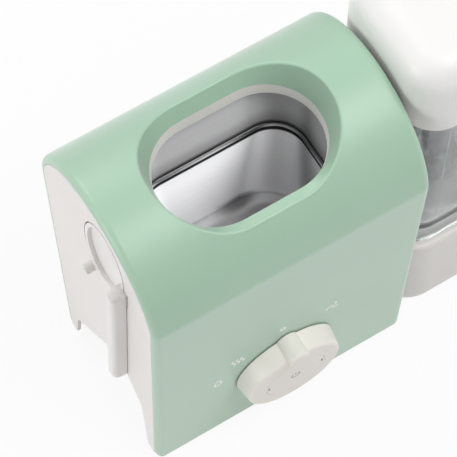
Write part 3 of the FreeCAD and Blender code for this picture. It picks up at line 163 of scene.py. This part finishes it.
@dataclass(frozen=True)
class Finish(ABC):
    """A surface as it was made: colour, gloss and the pattern that its making leaves."""

    name: str
    colour: str
    tone: str
    roughness: float
    ior: float = 1.5
    haze: float = 0.0

    HAZE_ROUGHNESS: ClassVar[float] = 0.4

    def material(self) -> bpy.types.Material:
        """Give the finish's material, made once.

        Returns:
            The Blender material of this finish.
        """
        found = bpy.data.materials.get(self.name)
        if found:
            return found
        made = bpy.data.materials.new(self.name)
        made.use_nodes = True
        tree = made.node_tree
        tree.nodes.clear()
        shader = add_node(tree, "ShaderNodeBsdfPrincipled", None, {
            "Roughness": self.roughness, "IOR": self.ior, "Sheen Weight": self.haze,
            "Sheen Roughness": self.HAZE_ROUGHNESS, "Sheen Tint": WHITE})
        add_node(tree, "ShaderNodeOutputMaterial", links={"Surface": shader.outputs["BSDF"]})
        place = add_node(tree, "ShaderNodeTexCoord").outputs["Object"]
        self.paint(Surface(tree, shader, place))
        return made

    @abstractmethod
    def paint(self, surface: Surface) -> None:
        """Lay the finish's own pattern.

        Args:
            surface: Surface that is painted.
        """

    def blend(self, surface: Surface, amount: bpy.types.NodeSocket) -> bpy.types.NodeSocket:
        """Mix the finish's two colours.

        Args:
            surface: Surface that gets the mix.
            amount: Share of the second colour, from 0 to 1.

        Returns:
            The mixed colour's socket.
        """
        mix = add_node(surface.tree, "ShaderNodeMix", {"data_type": "RGBA"},
                       {6: linear(self.colour), 7: linear(self.tone)}, {0: amount})
        return mix.outputs[2]


@dataclass(frozen=True)
class MouldedPlastic(Finish):
    """Injection-moulded plastic: a fine even spark texture from the mould and a slow drift in tone."""

    grain_mm: float = 0.8
    mottle_mm: float = 45.0
    relief: float = 0.05
    spread: float = 0.06

    GRAIN_DEPTH_MM: ClassVar[float] = 0.1
    GRAIN_DETAIL: ClassVar[float] = 2.0
    MOTTLE_DETAIL: ClassVar[float] = 3.0

    def paint(self, surface: Surface) -> None:
        """Lay the drift in tone, the uneven gloss and the grain.

        Args:
            surface: Surface that is painted.
        """
        drift = surface.noise(self.mottle_mm, self.MOTTLE_DETAIL)
        grain = surface.noise(self.grain_mm, self.GRAIN_DETAIL)
        surface.set_colour(self.blend(surface, drift))
        surface.vary_gloss(grain, self.roughness, self.spread)
        surface.raise_relief(grain, self.relief, self.GRAIN_DEPTH_MM)


@dataclass(frozen=True)
class BrushedSteel(Finish):
    """Stainless sheet brushed along the level: long faint scratches that stretch every reflection."""

    scratch_mm: float = 0.9
    run_mm: float = 60.0
    relief: float = 0.08
    spread: float = 0.08

    SCRATCH_DEPTH_MM: ClassVar[float] = 0.05
    SCRATCH_DETAIL: ClassVar[float] = 4.0

    def brushing(self, surface: Surface) -> bpy.types.NodeSocket:
        """Lay level scratches in the gloss and the relief.

        Args:
            surface: Surface that is painted.

        Returns:
            The scratched colour's socket.
        """
        surface.shader.inputs["Metallic"].default_value = 1.0
        along = per_mm(self.run_mm)
        stretched = add_node(surface.tree, "ShaderNodeMapping", None,
                             {"Scale": (along, along, per_mm(self.scratch_mm))}, {"Vector": surface.place})
        scratches = add_node(surface.tree, "ShaderNodeTexNoise", None,
                             {"Scale": 1.0, "Detail": self.SCRATCH_DETAIL},
                             {"Vector": stretched.outputs["Vector"]}).outputs["Fac"]
        surface.vary_gloss(scratches, self.roughness, self.spread)
        surface.raise_relief(scratches, self.relief, self.SCRATCH_DEPTH_MM)
        return self.blend(surface, scratches)

    def paint(self, surface: Surface) -> None:
        """Brush the surface.

        Args:
            surface: Surface that is painted.
        """
        surface.set_colour(self.brushing(surface))


@dataclass(frozen=True)
class PaintedReflectionTank(BrushedSteel):
    """Tank sheet with painted reflections and shade: tone bands by height paint a bright lower wall, a
    darker upper one and dark creases of painted shade along the bead.
    """

    reflection_bands: Tuple[Pair, ...] = ()

    STRETCH: ClassVar[float] = 1.0
    QUARTER_TURN: ClassVar[float] = 0.25
    BLUE_CAST: ClassVar[float] = 1.01

    def paint(self, surface: Surface) -> None:
        """Lay the brushing, then the painted reflection and shade tone of each band by its height.

        Args:
            surface: Surface that is painted.
        """
        brushed = self.brushing(surface)
        surface.shader.inputs["Anisotropic"].default_value = self.STRETCH
        surface.shader.inputs["Anisotropic Rotation"].default_value = self.QUARTER_TURN
        # Multiply the brushed colour by the painted reflection and shade bands.
        toned = add_node(surface.tree, "ShaderNodeMix", {"data_type": "RGBA", "blend_type": "MULTIPLY"},
                         {0: 1.0}, {6: brushed, 7: self.painted_reflection_tone(surface)})
        surface.set_colour(toned.outputs[2])

    def painted_reflection_tone(self, surface: Surface) -> bpy.types.NodeSocket:
        """Give the painted reflection and shade tone of each height.

        Args:
            surface: Surface that gets the tones.

        Returns:
            The tone's socket.
        """
        low, high = self.reflection_bands[0][0], self.reflection_bands[-1][0]
        place = add_node(surface.tree, "ShaderNodeSeparateXYZ", links={"Vector": surface.place})
        level = add_node(surface.tree, "ShaderNodeMapRange", None,
                         {"From Min": low * MM, "From Max": high * MM}, {"Value": place.outputs["Z"]})
        ramp = add_node(surface.tree, "ShaderNodeValToRGB", links={"Fac": level.outputs["Result"]})
        stops = ramp.color_ramp.elements
        ready = len(stops)
        for index, (z, tone) in enumerate(self.reflection_bands):
            share = (z - low) / (high - low)
            stop = stops[index] if index < ready else stops.new(share)
            stop.position = share
            # Each stop is a grey of painted reflection and shade for its band.
            stop.color = (tone, tone, tone * self.BLUE_CAST, 1.0)
        return ramp.outputs["Color"]


@dataclass(frozen=True)
class BareMetal(Finish):
    """Plated, cast or sintered metal: a dull grain that breaks the reflection up."""

    grain_mm: float = 1.6
    relief: float = 0.12

    GRAIN_DEPTH_MM: ClassVar[float] = 0.2
    GRAIN_DETAIL: ClassVar[float] = 4.0

    def paint(self, surface: Surface) -> None:
        """Lay the grain in tone and relief.

        Args:
            surface: Surface that is painted.
        """
        surface.shader.inputs["Metallic"].default_value = 1.0
        grain = surface.noise(self.grain_mm, self.GRAIN_DETAIL)
        surface.set_colour(self.blend(surface, grain))
        surface.raise_relief(grain, self.relief, self.GRAIN_DEPTH_MM)


@dataclass(frozen=True)
class ClearMoulding(Finish):
    """Clear copolyester bowl: see-through, with the faint flow marks of the moulding."""

    flow_mm: float = 30.0
    relief: float = 0.04

    FLOW_DEPTH_MM: ClassVar[float] = 0.3
    FLOW_DETAIL: ClassVar[float] = 1.0

    def paint(self, surface: Surface) -> None:
        """Make the body clear and lay the flow marks.

        Args:
            surface: Surface that is painted.
        """
        surface.shader.inputs["Transmission Weight"].default_value = 1.0
        flow = surface.noise(self.flow_mm, self.FLOW_DETAIL)
        surface.set_colour(self.blend(surface, flow))
        surface.raise_relief(flow, self.relief, self.FLOW_DEPTH_MM)


@dataclass(frozen=True)
class CircuitBoard(Finish):
    """Lacquered board: solder mask over raised copper tracks."""

    track_mm: float = 8.8
    gap_share: float = 0.06
    relief: float = 0.2

    TRACK_DEPTH_MM: ClassVar[float] = 0.1

    def paint(self, surface: Surface) -> None:
        """Lay a square net of tracks under the lacquer.

        Args:
            surface: Surface that is painted.
        """
        tracks = add_node(surface.tree, "ShaderNodeTexBrick", None,
                          {"Scale": per_mm(self.track_mm), "Mortar Size": self.gap_share},
                          {"Vector": surface.place}).outputs["Fac"]
        surface.set_colour(self.blend(surface, tracks))
        surface.raise_relief(tracks, self.relief, self.TRACK_DEPTH_MM)


def pad_print(name: str, colour: str, tone: str, roughness: float = 0.6,
              haze: float = 0.0) -> MouldedPlastic:
    """Give a thin printed or shaded finish.

    Args:
        name: Name of the finish.
        colour: First colour.
        tone: Second colour.
        roughness: Roughness of the dry ink.
        haze: Strength of its pale bloom.

    Returns:
        The finish, with the fine grain of a print.
    """
    return MouldedPlastic(name, colour, tone, roughness, haze=haze, grain_mm=0.3, mottle_mm=3.0)


# Height above the table in millimetres and painted tone, which paints the reflections and shade inside the
# tank: the floor, a painted highlight on its rounded edge, the bright lower wall, the bead's painted
# highlight between two dark creases of painted shade, and the darker upper wall.
TANK_PAINTED_REFLECTION_BANDS = (
    (100.0, 0.6), (101.2, 0.62),
    (101.8, 0.97), (104.6, 0.95), (105.4, 0.7),
    (107.0, 0.98), (175.8, 0.98),
    (176.6, 0.03), (181.3, 0.03), (181.7, 0.7), (182.2, 0.7), (182.6, 0.02), (185.0, 0.04),
    (188.0, 0.3), (202.0, 0.46), (236.0, 0.44),
)

MINT_ABS = MouldedPlastic("mint_green_satin_abs", "#ACCDB5", "#A7C9B1", 0.36, haze=0.45)
WHITE_ABS = MouldedPlastic("warm_white_satin_abs", "#EAE6E3", "#E4E0DC", 0.4)
LID_ABS = MouldedPlastic("bright_white_satin_abs", "#F6F5F3", "#F2F1EE", 0.4)
KNOB_ABS = MouldedPlastic("off_white_knob_abs", "#F6F0EA", "#F1EBE4", 0.36)
SPATULA_PP = MouldedPlastic("white_polypropylene", "#EDEBE9", "#E7E4E1", 0.38)
SEAL_SILICONE = MouldedPlastic("off_white_silicone", "#FAF8F4", "#F4F1EC", 0.55, ior=1.41,
                               grain_mm=0.6, mottle_mm=25.0)
MARK_INK = pad_print("pale_pad_print", "#FCFDFC", "#F6F9F6", roughness=0.5, haze=0.6)
GRADUATION_INK = pad_print("grey_pad_print", "#8F9694", "#868D8B")
CAP_INK = pad_print("taupe_pad_print", "#A39C97", "#99928D")
SLOT_SHADE = pad_print("shaded_slot", "#6A6461", "#5F5A57", roughness=0.7)
DARK_PBT = MouldedPlastic("dark_moulded_pbt", "#26272A", "#1F2023", 0.5)
GREY_PPS = MouldedPlastic("grey_heatproof_pps", "#6B6C6F", "#626366", 0.55)
FOOT_RUBBER = MouldedPlastic("soft_dark_rubber", "#2C2C2D", "#242425", 0.75, ior=1.52,
                             grain_mm=1.2, mottle_mm=12.0, relief=0.12)
# The tank's steel carries painted reflections and shade as tone bands by height; real steel would be one
# tone.
TANK_STEEL_PAINTED_REFLECTIONS = PaintedReflectionTank("brushed_tank_steel_painted_reflections", "#FFFFFF", "#F6F6F7", 0.58, relief=0.05, spread=0.05,
                       reflection_bands=TANK_PAINTED_REFLECTION_BANDS)
BLADE_STEEL = BrushedSteel("ground_blade_steel", "#C6C7CA", "#AEAFB3", 0.2, scratch_mm=0.5, run_mm=20.0)
ZINC_STEEL = BareMetal("zinc_plated_steel", "#B2B3B6", "#9C9DA1", 0.34)
MOTOR_STEEL = BareMetal("dull_plated_can", "#8C8D91", "#7B7C80", 0.42)
CAST_ALLOY = BareMetal("die_cast_alloy", "#A4A5A7", "#8E8F92", 0.5, grain_mm=2.4, relief=0.2)
HEAT_SHEATH = BareMetal("heat_darkened_sheath", "#6E655E", "#57504B", 0.45)
FERRITE = BareMetal("sintered_ferrite", "#3A3A3D", "#2E2E31", 0.7)
COPPER = BareMetal("bare_copper", "#C8835A", "#B4704A", 0.35)
BRONZE = BareMetal("oiled_sintered_bronze", "#9C7A4C", "#86683F", 0.5, grain_mm=0.9)
CLEAR_BOWL = ClearMoulding("clear_copolyester", "#F2F6F6", "#ECF2F2", 0.06)
SOLDER_MASK = CircuitBoard("solder_mask_board", "#1E5A35", "#2F7A4B", 0.35)


def dress(node: str, finish: Finish) -> None:
    """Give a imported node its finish.

    Args:
        node: Name of the node.
        finish: Finish for its whole surface.
    """
    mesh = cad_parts[node].data
    mesh.materials.clear()
    mesh.materials.append(finish.material())


@dataclass(frozen=True)
class Flat:
    """A flat place on the object where small pieces are laid."""

    origin: Vector
    right: Vector
    up: Vector

    def at(self, u: float, v: float, lift: float) -> Vector:
        """Give a point of this place.

        Args:
            u: Millimetres to the right.
            v: Millimetres up.
            lift: Millimetres out of the surface.

        Returns:
            The point in the row frame, in metres.
        """
        return self.origin + (self.right * u + self.up * v + self.normal() * lift) * MM

    def normal(self) -> Vector:
        """Direction out of the surface."""
        return self.right.cross(self.up)


def housing_point(x: float, y: float, z: float) -> Vector:
    """Give a point by its distance from the housing's middle, front foot and lower edge.

    Args:
        x: Millimetres to the right of the middle.
        y: Millimetres behind the front wall's foot.
        z: Millimetres above the lower edge.

    Returns:
        The point in the row frame, in metres.
    """
    low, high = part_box("outer_wrap")
    middle = (low + high) / 2
    return Vector((middle.x, middle.y - HOUSING_DEPTH / 2, low.z)) + Vector((x, y, z)) * MM


def front_wall(x: float, z: float) -> Flat:
    """Give a place on the leaning front wall.

    Args:
        x: Millimetres to the right of the middle.
        z: Millimetres above the lower edge.

    Returns:
        The flat place there.
    """
    up = Vector((0.0, -math.sin(WALL_LEAN), math.cos(WALL_LEAN)))
    return Flat(housing_point(x, -z * math.tan(WALL_LEAN), z), RIGHT, up)


def lay_band(bm: bmesh.types.BMesh, flat: Flat, line: Sequence[Pair], width: float,
             closed: bool = False) -> None:
    """Lay a thin band along a line on a flat place.

    Args:
        bm: Mesh that gets the band.
        flat: Place that carries it.
        line: Points of its middle line in millimetres.
        width: Width in millimetres.
        closed: Whether the line comes back to its start.
    """
    count = len(line)
    corners = ((1, SKIN), (1, INK), (-1, INK), (-1, SKIN))
    rows = []
    for i, (u, v) in enumerate(line):
        before = line[i - 1] if i or closed else line[0]
        after = line[(i + 1) % count] if i + 1 < count or closed else line[-1]
        run, rise = after[0] - before[0], after[1] - before[1]
        half = width / 2 / math.hypot(run, rise)
        rows.append([bm.verts.new(flat.at(u - side * rise * half, v + side * run * half, lift))
                     for side, lift in corners])
    for a, b in zip(rows, rows[1:] + rows[:1] if closed else rows[1:]):
        for k in range(len(corners)):
            following = (k + 1) % len(corners)
            bm.faces.new((a[k], b[k], b[following], a[following]))
    if not closed:
        bm.faces.new(rows[0])
        bm.faces.new(rows[-1])


def turn_form(bm: bmesh.types.BMesh, flat: Flat, profile: Sequence[Pair], steps: int = 40) -> None:
    """Turn a profile of radius and height about the normal of a flat place.

    Args:
        bm: Mesh that gets the turned form.
        flat: Place whose origin is the axis.
        profile: Radius and height above the surface in millimetres.
        steps: Facets of the full turn.
    """
    line = [bm.verts.new(flat.at(radius, 0.0, lift)) for radius, lift in profile]
    edges = [bm.edges.new(pair) for pair in zip(line, line[1:])]
    bmesh.ops.spin(bm, geom=line + edges, cent=flat.origin, axis=flat.normal(),
                   angle=math.tau, steps=steps, use_merge=True)
    bmesh.ops.remove_doubles(bm, verts=bm.verts[:], dist=MERGE_DISTANCE)


def make_piece(name: str, bm: bmesh.types.BMesh, finish: Finish, body: str) -> bpy.types.Object:
    """Turn a finished mesh into a piece that rides on a body.

    Args:
        name: Name of the piece.
        bm: Its mesh in the row frame; it is freed.
        finish: Its finish.
        body: Body that it moves with.

    Returns:
        The new object.
    """
    bmesh.ops.recalc_face_normals(bm, faces=bm.faces[:])
    mesh = bpy.data.meshes.new(name)
    bm.to_mesh(mesh)
    bm.free()
    mesh.materials.append(finish.material())
    mesh.shade_smooth()
    mesh.set_sharp_from_angle(angle=SHARP_ANGLE)
    piece = bpy.data.objects.new(name, mesh)
    bpy.context.scene.collection.objects.link(piece)
    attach(piece, body)
    return piece


class Mark(Enum):
    """Generic signs on and round the selector knob."""

    OFF = "off_ring"
    STEAM = "steam_waves"
    DROP = "water_drop"
    BLEND = "blend_whirl"
    PRESS = "press_ring"

    def lines(self) -> List[Tuple[Line, bool]]:
        """Draw the sign.

        Returns:
            Middle lines of the sign in millimetres, each open or closed.
        """
        draw = {Mark.OFF: draw_ring, Mark.STEAM: draw_waves, Mark.DROP: draw_drop,
                Mark.BLEND: draw_whirl, Mark.PRESS: draw_press}
        return draw[self]()


TURN_STEPS = 36
FULL_TURN = [math.tau * i / TURN_STEPS for i in range(TURN_STEPS)]


def draw_ring(radius: float = 2.1) -> List[Tuple[Line, bool]]:
    """Draw a plain ring.

    Args:
        radius: Radius in millimetres.

    Returns:
        Its one closed line.
    """
    return [([(radius * math.cos(t), radius * math.sin(t)) for t in FULL_TURN], True)]


def draw_waves(swing: float = 0.8, height: float = 6.0, pitch: float = 2.2,
               steps: int = 16) -> List[Tuple[Line, bool]]:
    """Draw three upright waves side by side.

    Args:
        swing: Half the width of a wave in millimetres.
        height: Height in millimetres.
        pitch: Distance between waves in millimetres.
        steps: Stretches of each wave.

    Returns:
        Three open lines.
    """
    wave = [(swing * math.sin(math.tau * i / steps), height * (i / steps - 0.5)) for i in range(steps + 1)]
    return [([(u + shift, v) for u, v in wave], False) for shift in (-pitch, 0.0, pitch)]


def draw_drop(width: float = 2.2, height: float = 3.2, taper: float = 1.2) -> List[Tuple[Line, bool]]:
    """Draw a drop with its point up.

    Args:
        width: Greatest half width in millimetres, before the taper.
        height: Half the height in millimetres.
        taper: Power that draws the point in.

    Returns:
        Its one closed line.
    """
    line = [(width * math.sin(t) * math.sin(t / 2) ** taper, height * math.cos(t)) for t in FULL_TURN[1:]]
    return [(line, True)]


def draw_press(radius: float = 2.7, first: int = 4, last: int = 32,
               stroke: Sequence[float] = (0.9, 2.1, 3.3)) -> List[Tuple[Line, bool]]:
    """Draw a ring that is open at the top, with a short stroke in the gap.

    Args:
        radius: Radius in millimetres.
        first: First step of the full turn that is drawn.
        last: Last step that is drawn.
        stroke: Heights of the stroke's points in millimetres.

    Returns:
        The ring and the stroke, both open lines.
    """
    ring = [(radius * math.sin(t), radius * math.cos(t)) for t in FULL_TURN[first:last + 1]]
    return [(ring, False), ([(0.0, v) for v in stroke], False)]


def draw_whirl(start: float = 0.4, reach: float = 2.9, sweep: float = 1.5, arms: int = 3,
               steps: int = 12) -> List[Tuple[Line, bool]]:
    """Draw curved arms that run out from the middle.

    Args:
        start: Radius where an arm starts, in millimetres.
        reach: Growth of its radius in millimetres.
        sweep: Turn of an arm in radians.
        arms: Number of arms.
        steps: Stretches of each arm.

    Returns:
        One open line for each arm.
    """
    drawn = []
    for k in range(arms):
        polar = [(start + reach * i / steps, math.tau * k / arms + sweep * i / steps)
                 for i in range(steps + 1)]
        drawn.append(([(r * math.cos(t), r * math.sin(t)) for r, t in polar], False))
    return drawn


@dataclass
class SubAssembly:
    """A group of pieces that is dressed and completed together."""

    FINISHES: ClassVar[Dict[str, Finish]] = {}

    def build(self) -> List[bpy.types.Object]:
        """Dress the nodes of this group and add what the solids leave out.

        Returns:
            The new pieces of this group.
        """
        for node, finish in self.FINISHES.items():
            dress(node, finish)
        return self.add_pieces()

    def add_pieces(self) -> List[bpy.types.Object]:
        """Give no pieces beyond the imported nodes."""
        return []


@dataclass
class Housing(SubAssembly):
    """Green wrap, side panels, tray, feet and the electrics inside."""

    FINISHES: ClassVar[Dict[str, Finish]] = {
        "outer_wrap": MINT_ABS, "left_side_panel": WHITE_ABS, "right_side_panel": WHITE_ABS,
        "base_tray": WHITE_ABS, "base_feet": FOOT_RUBBER, "cord_gland": DARK_PBT,
        "control_board": SOLDER_MASK, "rotary_switch": DARK_PBT, "switch_nut": ZINC_STEEL,
        "tank_frame": GREY_PPS, "tray_screws": ZINC_STEEL, "bridge_screws": ZINC_STEEL,
    }

    # Sign, its place on the front wall in millimetres and its scale.
    marks: Tuple[Tuple[Mark, float, float, float], ...] = (
        (Mark.OFF, -3.5, 109.4, 0.8), (Mark.STEAM, -33.6, 97.6, 1.35),
        (Mark.DROP, -46.8, 79.0, 1.4), (Mark.BLEND, 31.3, 101.0, 1.5),
    )
    stroke_mm: float = 1.2
    peg_mm: Triple = (-93.0, 62.0, 172.0)
    peg_profile: Tuple[Pair, ...] = (
        (0.0, 0.12), (1.2, 0.12), (1.6, 0.5), (2.6, 0.62), (3.1, 0.4), (3.2, SKIN),
    )

    def add_pieces(self) -> List[bpy.types.Object]:
        """Print the signs on the front and finish the peg's end.

        Returns:
            The signs and the peg's end.
        """
        return [self.print_sign(*mark) for mark in self.marks] + [self.end_peg()]

    def print_sign(self, mark: Mark, x: float, z: float, size: float) -> bpy.types.Object:
        """Print one sign on the front wall.

        Args:
            mark: Sign that is printed.
            x: Millimetres to the right of the middle.
            z: Millimetres above the lower edge.
            size: Scale of the sign.

        Returns:
            The printed piece.
        """
        bm = bmesh.new()
        for line, closed in mark.lines():
            drawn = [(u * size, v * size) for u, v in line]
            lay_band(bm, front_wall(x, z), drawn, self.stroke_mm, closed)
        return make_piece("mark_" + mark.value, bm, MARK_INK, "housing")

    def end_peg(self) -> bpy.types.Object:
        """Round off the end of the peg that holds the spatula.

        Returns:
            The peg's end.
        """
        bm = bmesh.new()
        turn_form(bm, Flat(housing_point(*self.peg_mm), FORWARD, UP), self.peg_profile)
        return make_piece("peg_end", bm, WHITE_ABS, "housing")


@dataclass
class SteamTank(SubAssembly):
    """Tank, its rim seal and the heater below."""

    FINISHES: ClassVar[Dict[str, Finish]] = {
        "steam_tank": TANK_STEEL_PAINTED_REFLECTIONS, "tank_rim_seal": SEAL_SILICONE, "heating_plate": CAST_ALLOY,
        "heater_element": HEAT_SHEATH, "thermostat": DARK_PBT, "thermal_fuse": GREY_PPS,
    }


@dataclass
class Selector(SubAssembly):
    """Knob, its face disc and its shaft."""

    FINISHES: ClassVar[Dict[str, Finish]] = {
        "control_knob": KNOB_ABS, "knob_cap": KNOB_ABS, "selector_shaft": ZINC_STEEL,
    }

    axis_mm: Pair = (-1.0, 61.0)
    face_mm: float = 13.8
    stroke_mm: float = 0.8
    slot_out_mm: float = 18.4
    slot_half_mm: float = 1.3
    slot_width_mm: float = 1.0

    def add_pieces(self) -> List[bpy.types.Object]:
        """Print the sign on the knob's cap and lay painted shade where its two pry slots are.

        Returns:
            The sign and the painted slot shade.
        """
        wall = front_wall(*self.axis_mm)
        face = Flat(wall.at(0.0, 0.0, self.face_mm), wall.right, wall.up)
        sign = bmesh.new()
        for line, closed in Mark.PRESS.lines():
            lay_band(sign, face, line, self.stroke_mm, closed)
        # Dark flat strips of painted shade lie where the cap's pry slots would be recessed; the slots are
        # not cut into the solid.
        painted_slot_shade = bmesh.new()
        for out in (-self.slot_out_mm, self.slot_out_mm):
            line = [(out, v) for v in (-self.slot_half_mm, 0.0, self.slot_half_mm)]
            lay_band(painted_slot_shade, face, line, self.slot_width_mm)
        return [make_piece("mark_" + Mark.PRESS.value, sign, CAP_INK, "knob"),
                make_piece("knob_cap_painted_slot_shade", painted_slot_shade, SLOT_SHADE, "knob")]


@dataclass
class StoredSpatula(SubAssembly):
    """Spatula in the left panel."""

    FINISHES: ClassVar[Dict[str, Finish]] = {"spatula": SPATULA_PP}


@dataclass
class MotorBase(SubAssembly):
    """Base under the bowl with the motor inside."""

    FINISHES: ClassVar[Dict[str, Finish]] = {
        "motor_base": WHITE_ABS, "motor_base_cover": WHITE_ABS, "motor_bracket": ZINC_STEEL,
        "motor_can": MOTOR_STEEL, "motor_end_bell": DARK_PBT, "motor_magnets": FERRITE,
        "rotor_core": MOTOR_STEEL, "commutator": COPPER, "brush_card": DARK_PBT,
        "motor_shaft": ZINC_STEEL, "drive_coupling": DARK_PBT, "shaft_seal": FOOT_RUBBER,
        "upper_bearing": BRONZE, "lower_bearing": BRONZE, "cover_screws": ZINC_STEEL,
        "bracket_screws": ZINC_STEEL, "can_screws": ZINC_STEEL,
    }


@dataclass
class BlendingBowl(SubAssembly):
    """Clear bowl with its handle, blades and tall lid."""

    FINISHES: ClassVar[Dict[str, Finish]] = {
        "mixing_bowl": CLEAR_BOWL, "bowl_handle": WHITE_ABS, "bowl_bush": BRONZE,
        "blade_collar": GREY_PPS, "blade": BLADE_STEEL, "blade_cap": GREY_PPS,
        "blade_shaft": ZINC_STEEL, "driven_coupling": GREY_PPS, "bowl_lid": LID_ABS,
        "lid_seal": SEAL_SILICONE,
    }

    first_mm: float = 60.0
    pitch_mm: float = 20.0
    lines_drawn: int = 5
    long_half_mm: float = 9.0
    short_half_mm: float = 5.0
    stroke_mm: float = 0.8

    def add_pieces(self) -> List[bpy.types.Object]:
        """Print long and short filling lines by turns on the bowl's front.

        Returns:
            The filling lines.
        """
        low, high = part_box("mixing_bowl")
        front = Flat(Vector(((low.x + high.x) / 2, low.y, low.z)), RIGHT, UP)
        bm = bmesh.new()
        for i in range(self.lines_drawn):
            half = self.short_half_mm if i % 2 else self.long_half_mm
            height = self.first_mm + self.pitch_mm * i
            lay_band(bm, front, [(u, height) for u in (-half, 0.0, half)], self.stroke_mm)
        return [make_piece("bowl_filling_lines", bm, GRADUATION_INK, "bowl")]


@dataclass(frozen=True)
class SoftBox:
    """A square soft lamp: its place and size in metres and its power in watts."""

    name: str
    place: Triple
    size: float
    watts: float

    def hang(self, aim: Vector) -> None:
        """Hang the lamp so that it faces a point.

        Args:
            aim: Point that it faces.
        """
        lamp = bpy.data.lights.new(self.name, "AREA")
        lamp.size = self.size
        lamp.energy = self.watts
        hung = bpy.data.objects.new(self.name, lamp)
        hung.location = self.place
        hung.rotation_euler = (aim - Vector(self.place)).to_track_quat("-Z", "Y").to_euler()
        bpy.context.scene.collection.objects.link(hung)


@dataclass
class Studio:
    """Pale floor, white surround, soft lamps and the camera."""

    image_px: float = 457.0
    focal_px: float = 2337.29
    sensor_mm: float = 36.0
    clip: Pair = (0.05, 50.0)
    azimuth: float = -31.4295
    elevation: float = 65.0064
    stand: Triple = (-299.37, -427.88, 1353.38)
    floor_half: float = 4.0
    floor_colour: str = "#F4F4F4"
    floor_glow: float = 0.9
    surround_light: float = 0.3
    aim: Triple = (0.0, 0.0, 0.15)
    lamps: Tuple[SoftBox, ...] = (
        SoftBox("soft_box_key", (0.45, -0.6, 1.75), 1.0, 15.2),
        SoftBox("soft_box_back", (-0.3, 1.3, 1.4), 1.0, 11.0),
        SoftBox("soft_box_right", (1.35, -0.45, 1.15), 0.8, 3.0),
        SoftBox("soft_box_left", (-1.5, 0.1, 0.42), 0.7, 7.0),
    )

    def build(self) -> None:
        """Set up the floor, the surround, the lamps, the camera and the colour handling."""
        self.make_floor()
        self.make_surround()
        for lamp in self.lamps:
            lamp.hang(Vector(self.aim))
        self.make_camera()
        bpy.context.scene.view_settings.view_transform = "Standard"

    def seen_ray(self, tree: bpy.types.NodeTree) -> bpy.types.NodeSocket:
        """Tell rays that show the background: from the camera, by a mirror or through glass.

        Args:
            tree: Node tree that asks.

        Returns:
            One for such a ray and zero for any other.
        """
        path = add_node(tree, "ShaderNodeLightPath")
        some = add_node(tree, "ShaderNodeMath", {"operation": "MAXIMUM"}, None,
                        {0: path.outputs["Is Camera Ray"], 1: path.outputs["Is Glossy Ray"]})
        every = add_node(tree, "ShaderNodeMath", {"operation": "MAXIMUM"}, None,
                         {0: some.outputs[0], 1: path.outputs["Is Transmission Ray"]})
        return every.outputs[0]

    def make_floor(self) -> None:
        """Lay the pale floor, which keeps the object's shadow."""
        bm = bmesh.new()
        bmesh.ops.create_grid(bm, x_segments=1, y_segments=1, size=self.floor_half)
        mesh = bpy.data.meshes.new("floor")
        bm.to_mesh(mesh)
        bm.free()
        floor = bpy.data.objects.new("floor", mesh)
        bpy.context.scene.collection.objects.link(floor)
        mesh.materials.append(self.floor_paint())

    def floor_paint(self) -> bpy.types.Material:
        """Make the floor's paint, matt with a glow that lifts it towards white.

        Returns:
            The floor's material.
        """
        paint = bpy.data.materials.new("pale_floor")
        paint.use_nodes = True
        tree = paint.node_tree
        tree.nodes.clear()
        matt = add_node(tree, "ShaderNodeBsdfDiffuse", None, {"Color": linear(self.floor_colour)})
        glow = add_node(tree, "ShaderNodeEmission", None, {"Color": WHITE, "Strength": 1.0})
        share = add_node(tree, "ShaderNodeMath", {"operation": "MULTIPLY"}, {1: self.floor_glow},
                         {0: self.seen_ray(tree)})
        mix = add_node(tree, "ShaderNodeMixShader", None, None,
                       {0: share.outputs[0], 1: matt.outputs[0], 2: glow.outputs[0]})
        add_node(tree, "ShaderNodeOutputMaterial", links={"Surface": mix.outputs[0]})
        return paint

    def make_surround(self) -> None:
        """Make the world white where it is seen and softer where it lights."""
        world = bpy.data.worlds.new("surround")
        world.use_nodes = True
        bpy.context.scene.world = world
        tree = world.node_tree
        tree.nodes.clear()
        level = add_node(tree, "ShaderNodeMapRange", None,
                         {"To Min": self.surround_light, "To Max": 1.0}, {"Value": self.seen_ray(tree)})
        light = add_node(tree, "ShaderNodeBackground", None, {"Color": WHITE},
                         {"Strength": level.outputs["Result"]})
        add_node(tree, "ShaderNodeOutputWorld", links={"Surface": light.outputs[0]})

    def make_camera(self) -> None:
        """Stand the camera where the photograph was taken from."""
        lens = bpy.data.cameras.new("photo_camera")
        lens.sensor_fit = "HORIZONTAL"
        lens.sensor_width = self.sensor_mm
        lens.lens = self.focal_px * self.sensor_mm / self.image_px
        lens.clip_start, lens.clip_end = self.clip
        camera = bpy.data.objects.new("photo_camera", lens)
        turn = Matrix.Rotation(math.radians(self.azimuth), 4, "Z")
        tilt = Matrix.Rotation(math.radians(90.0 - self.elevation), 4, "X")
        spot = Matrix.Translation(housing_point(*self.stand))
        camera.matrix_world = spot @ turn @ tilt
        bpy.context.scene.collection.objects.link(camera)
        bpy.context.scene.camera = camera


def main() -> None:
    """Build every group, light it and report the new pieces."""
    logging.basicConfig(level=logging.INFO, format="%(name)s: %(message)s")
    for group in (Housing(), SteamTank(), Selector(), StoredSpatula(), MotorBase(), BlendingBowl()):
        pieces = group.build()
        names = ", ".join(piece.name for piece in pieces)
        LOG.info("%s: %s", type(group).__name__, names or "packed nodes dressed")
    Studio().build()


if __name__ == "__main__":
    main()
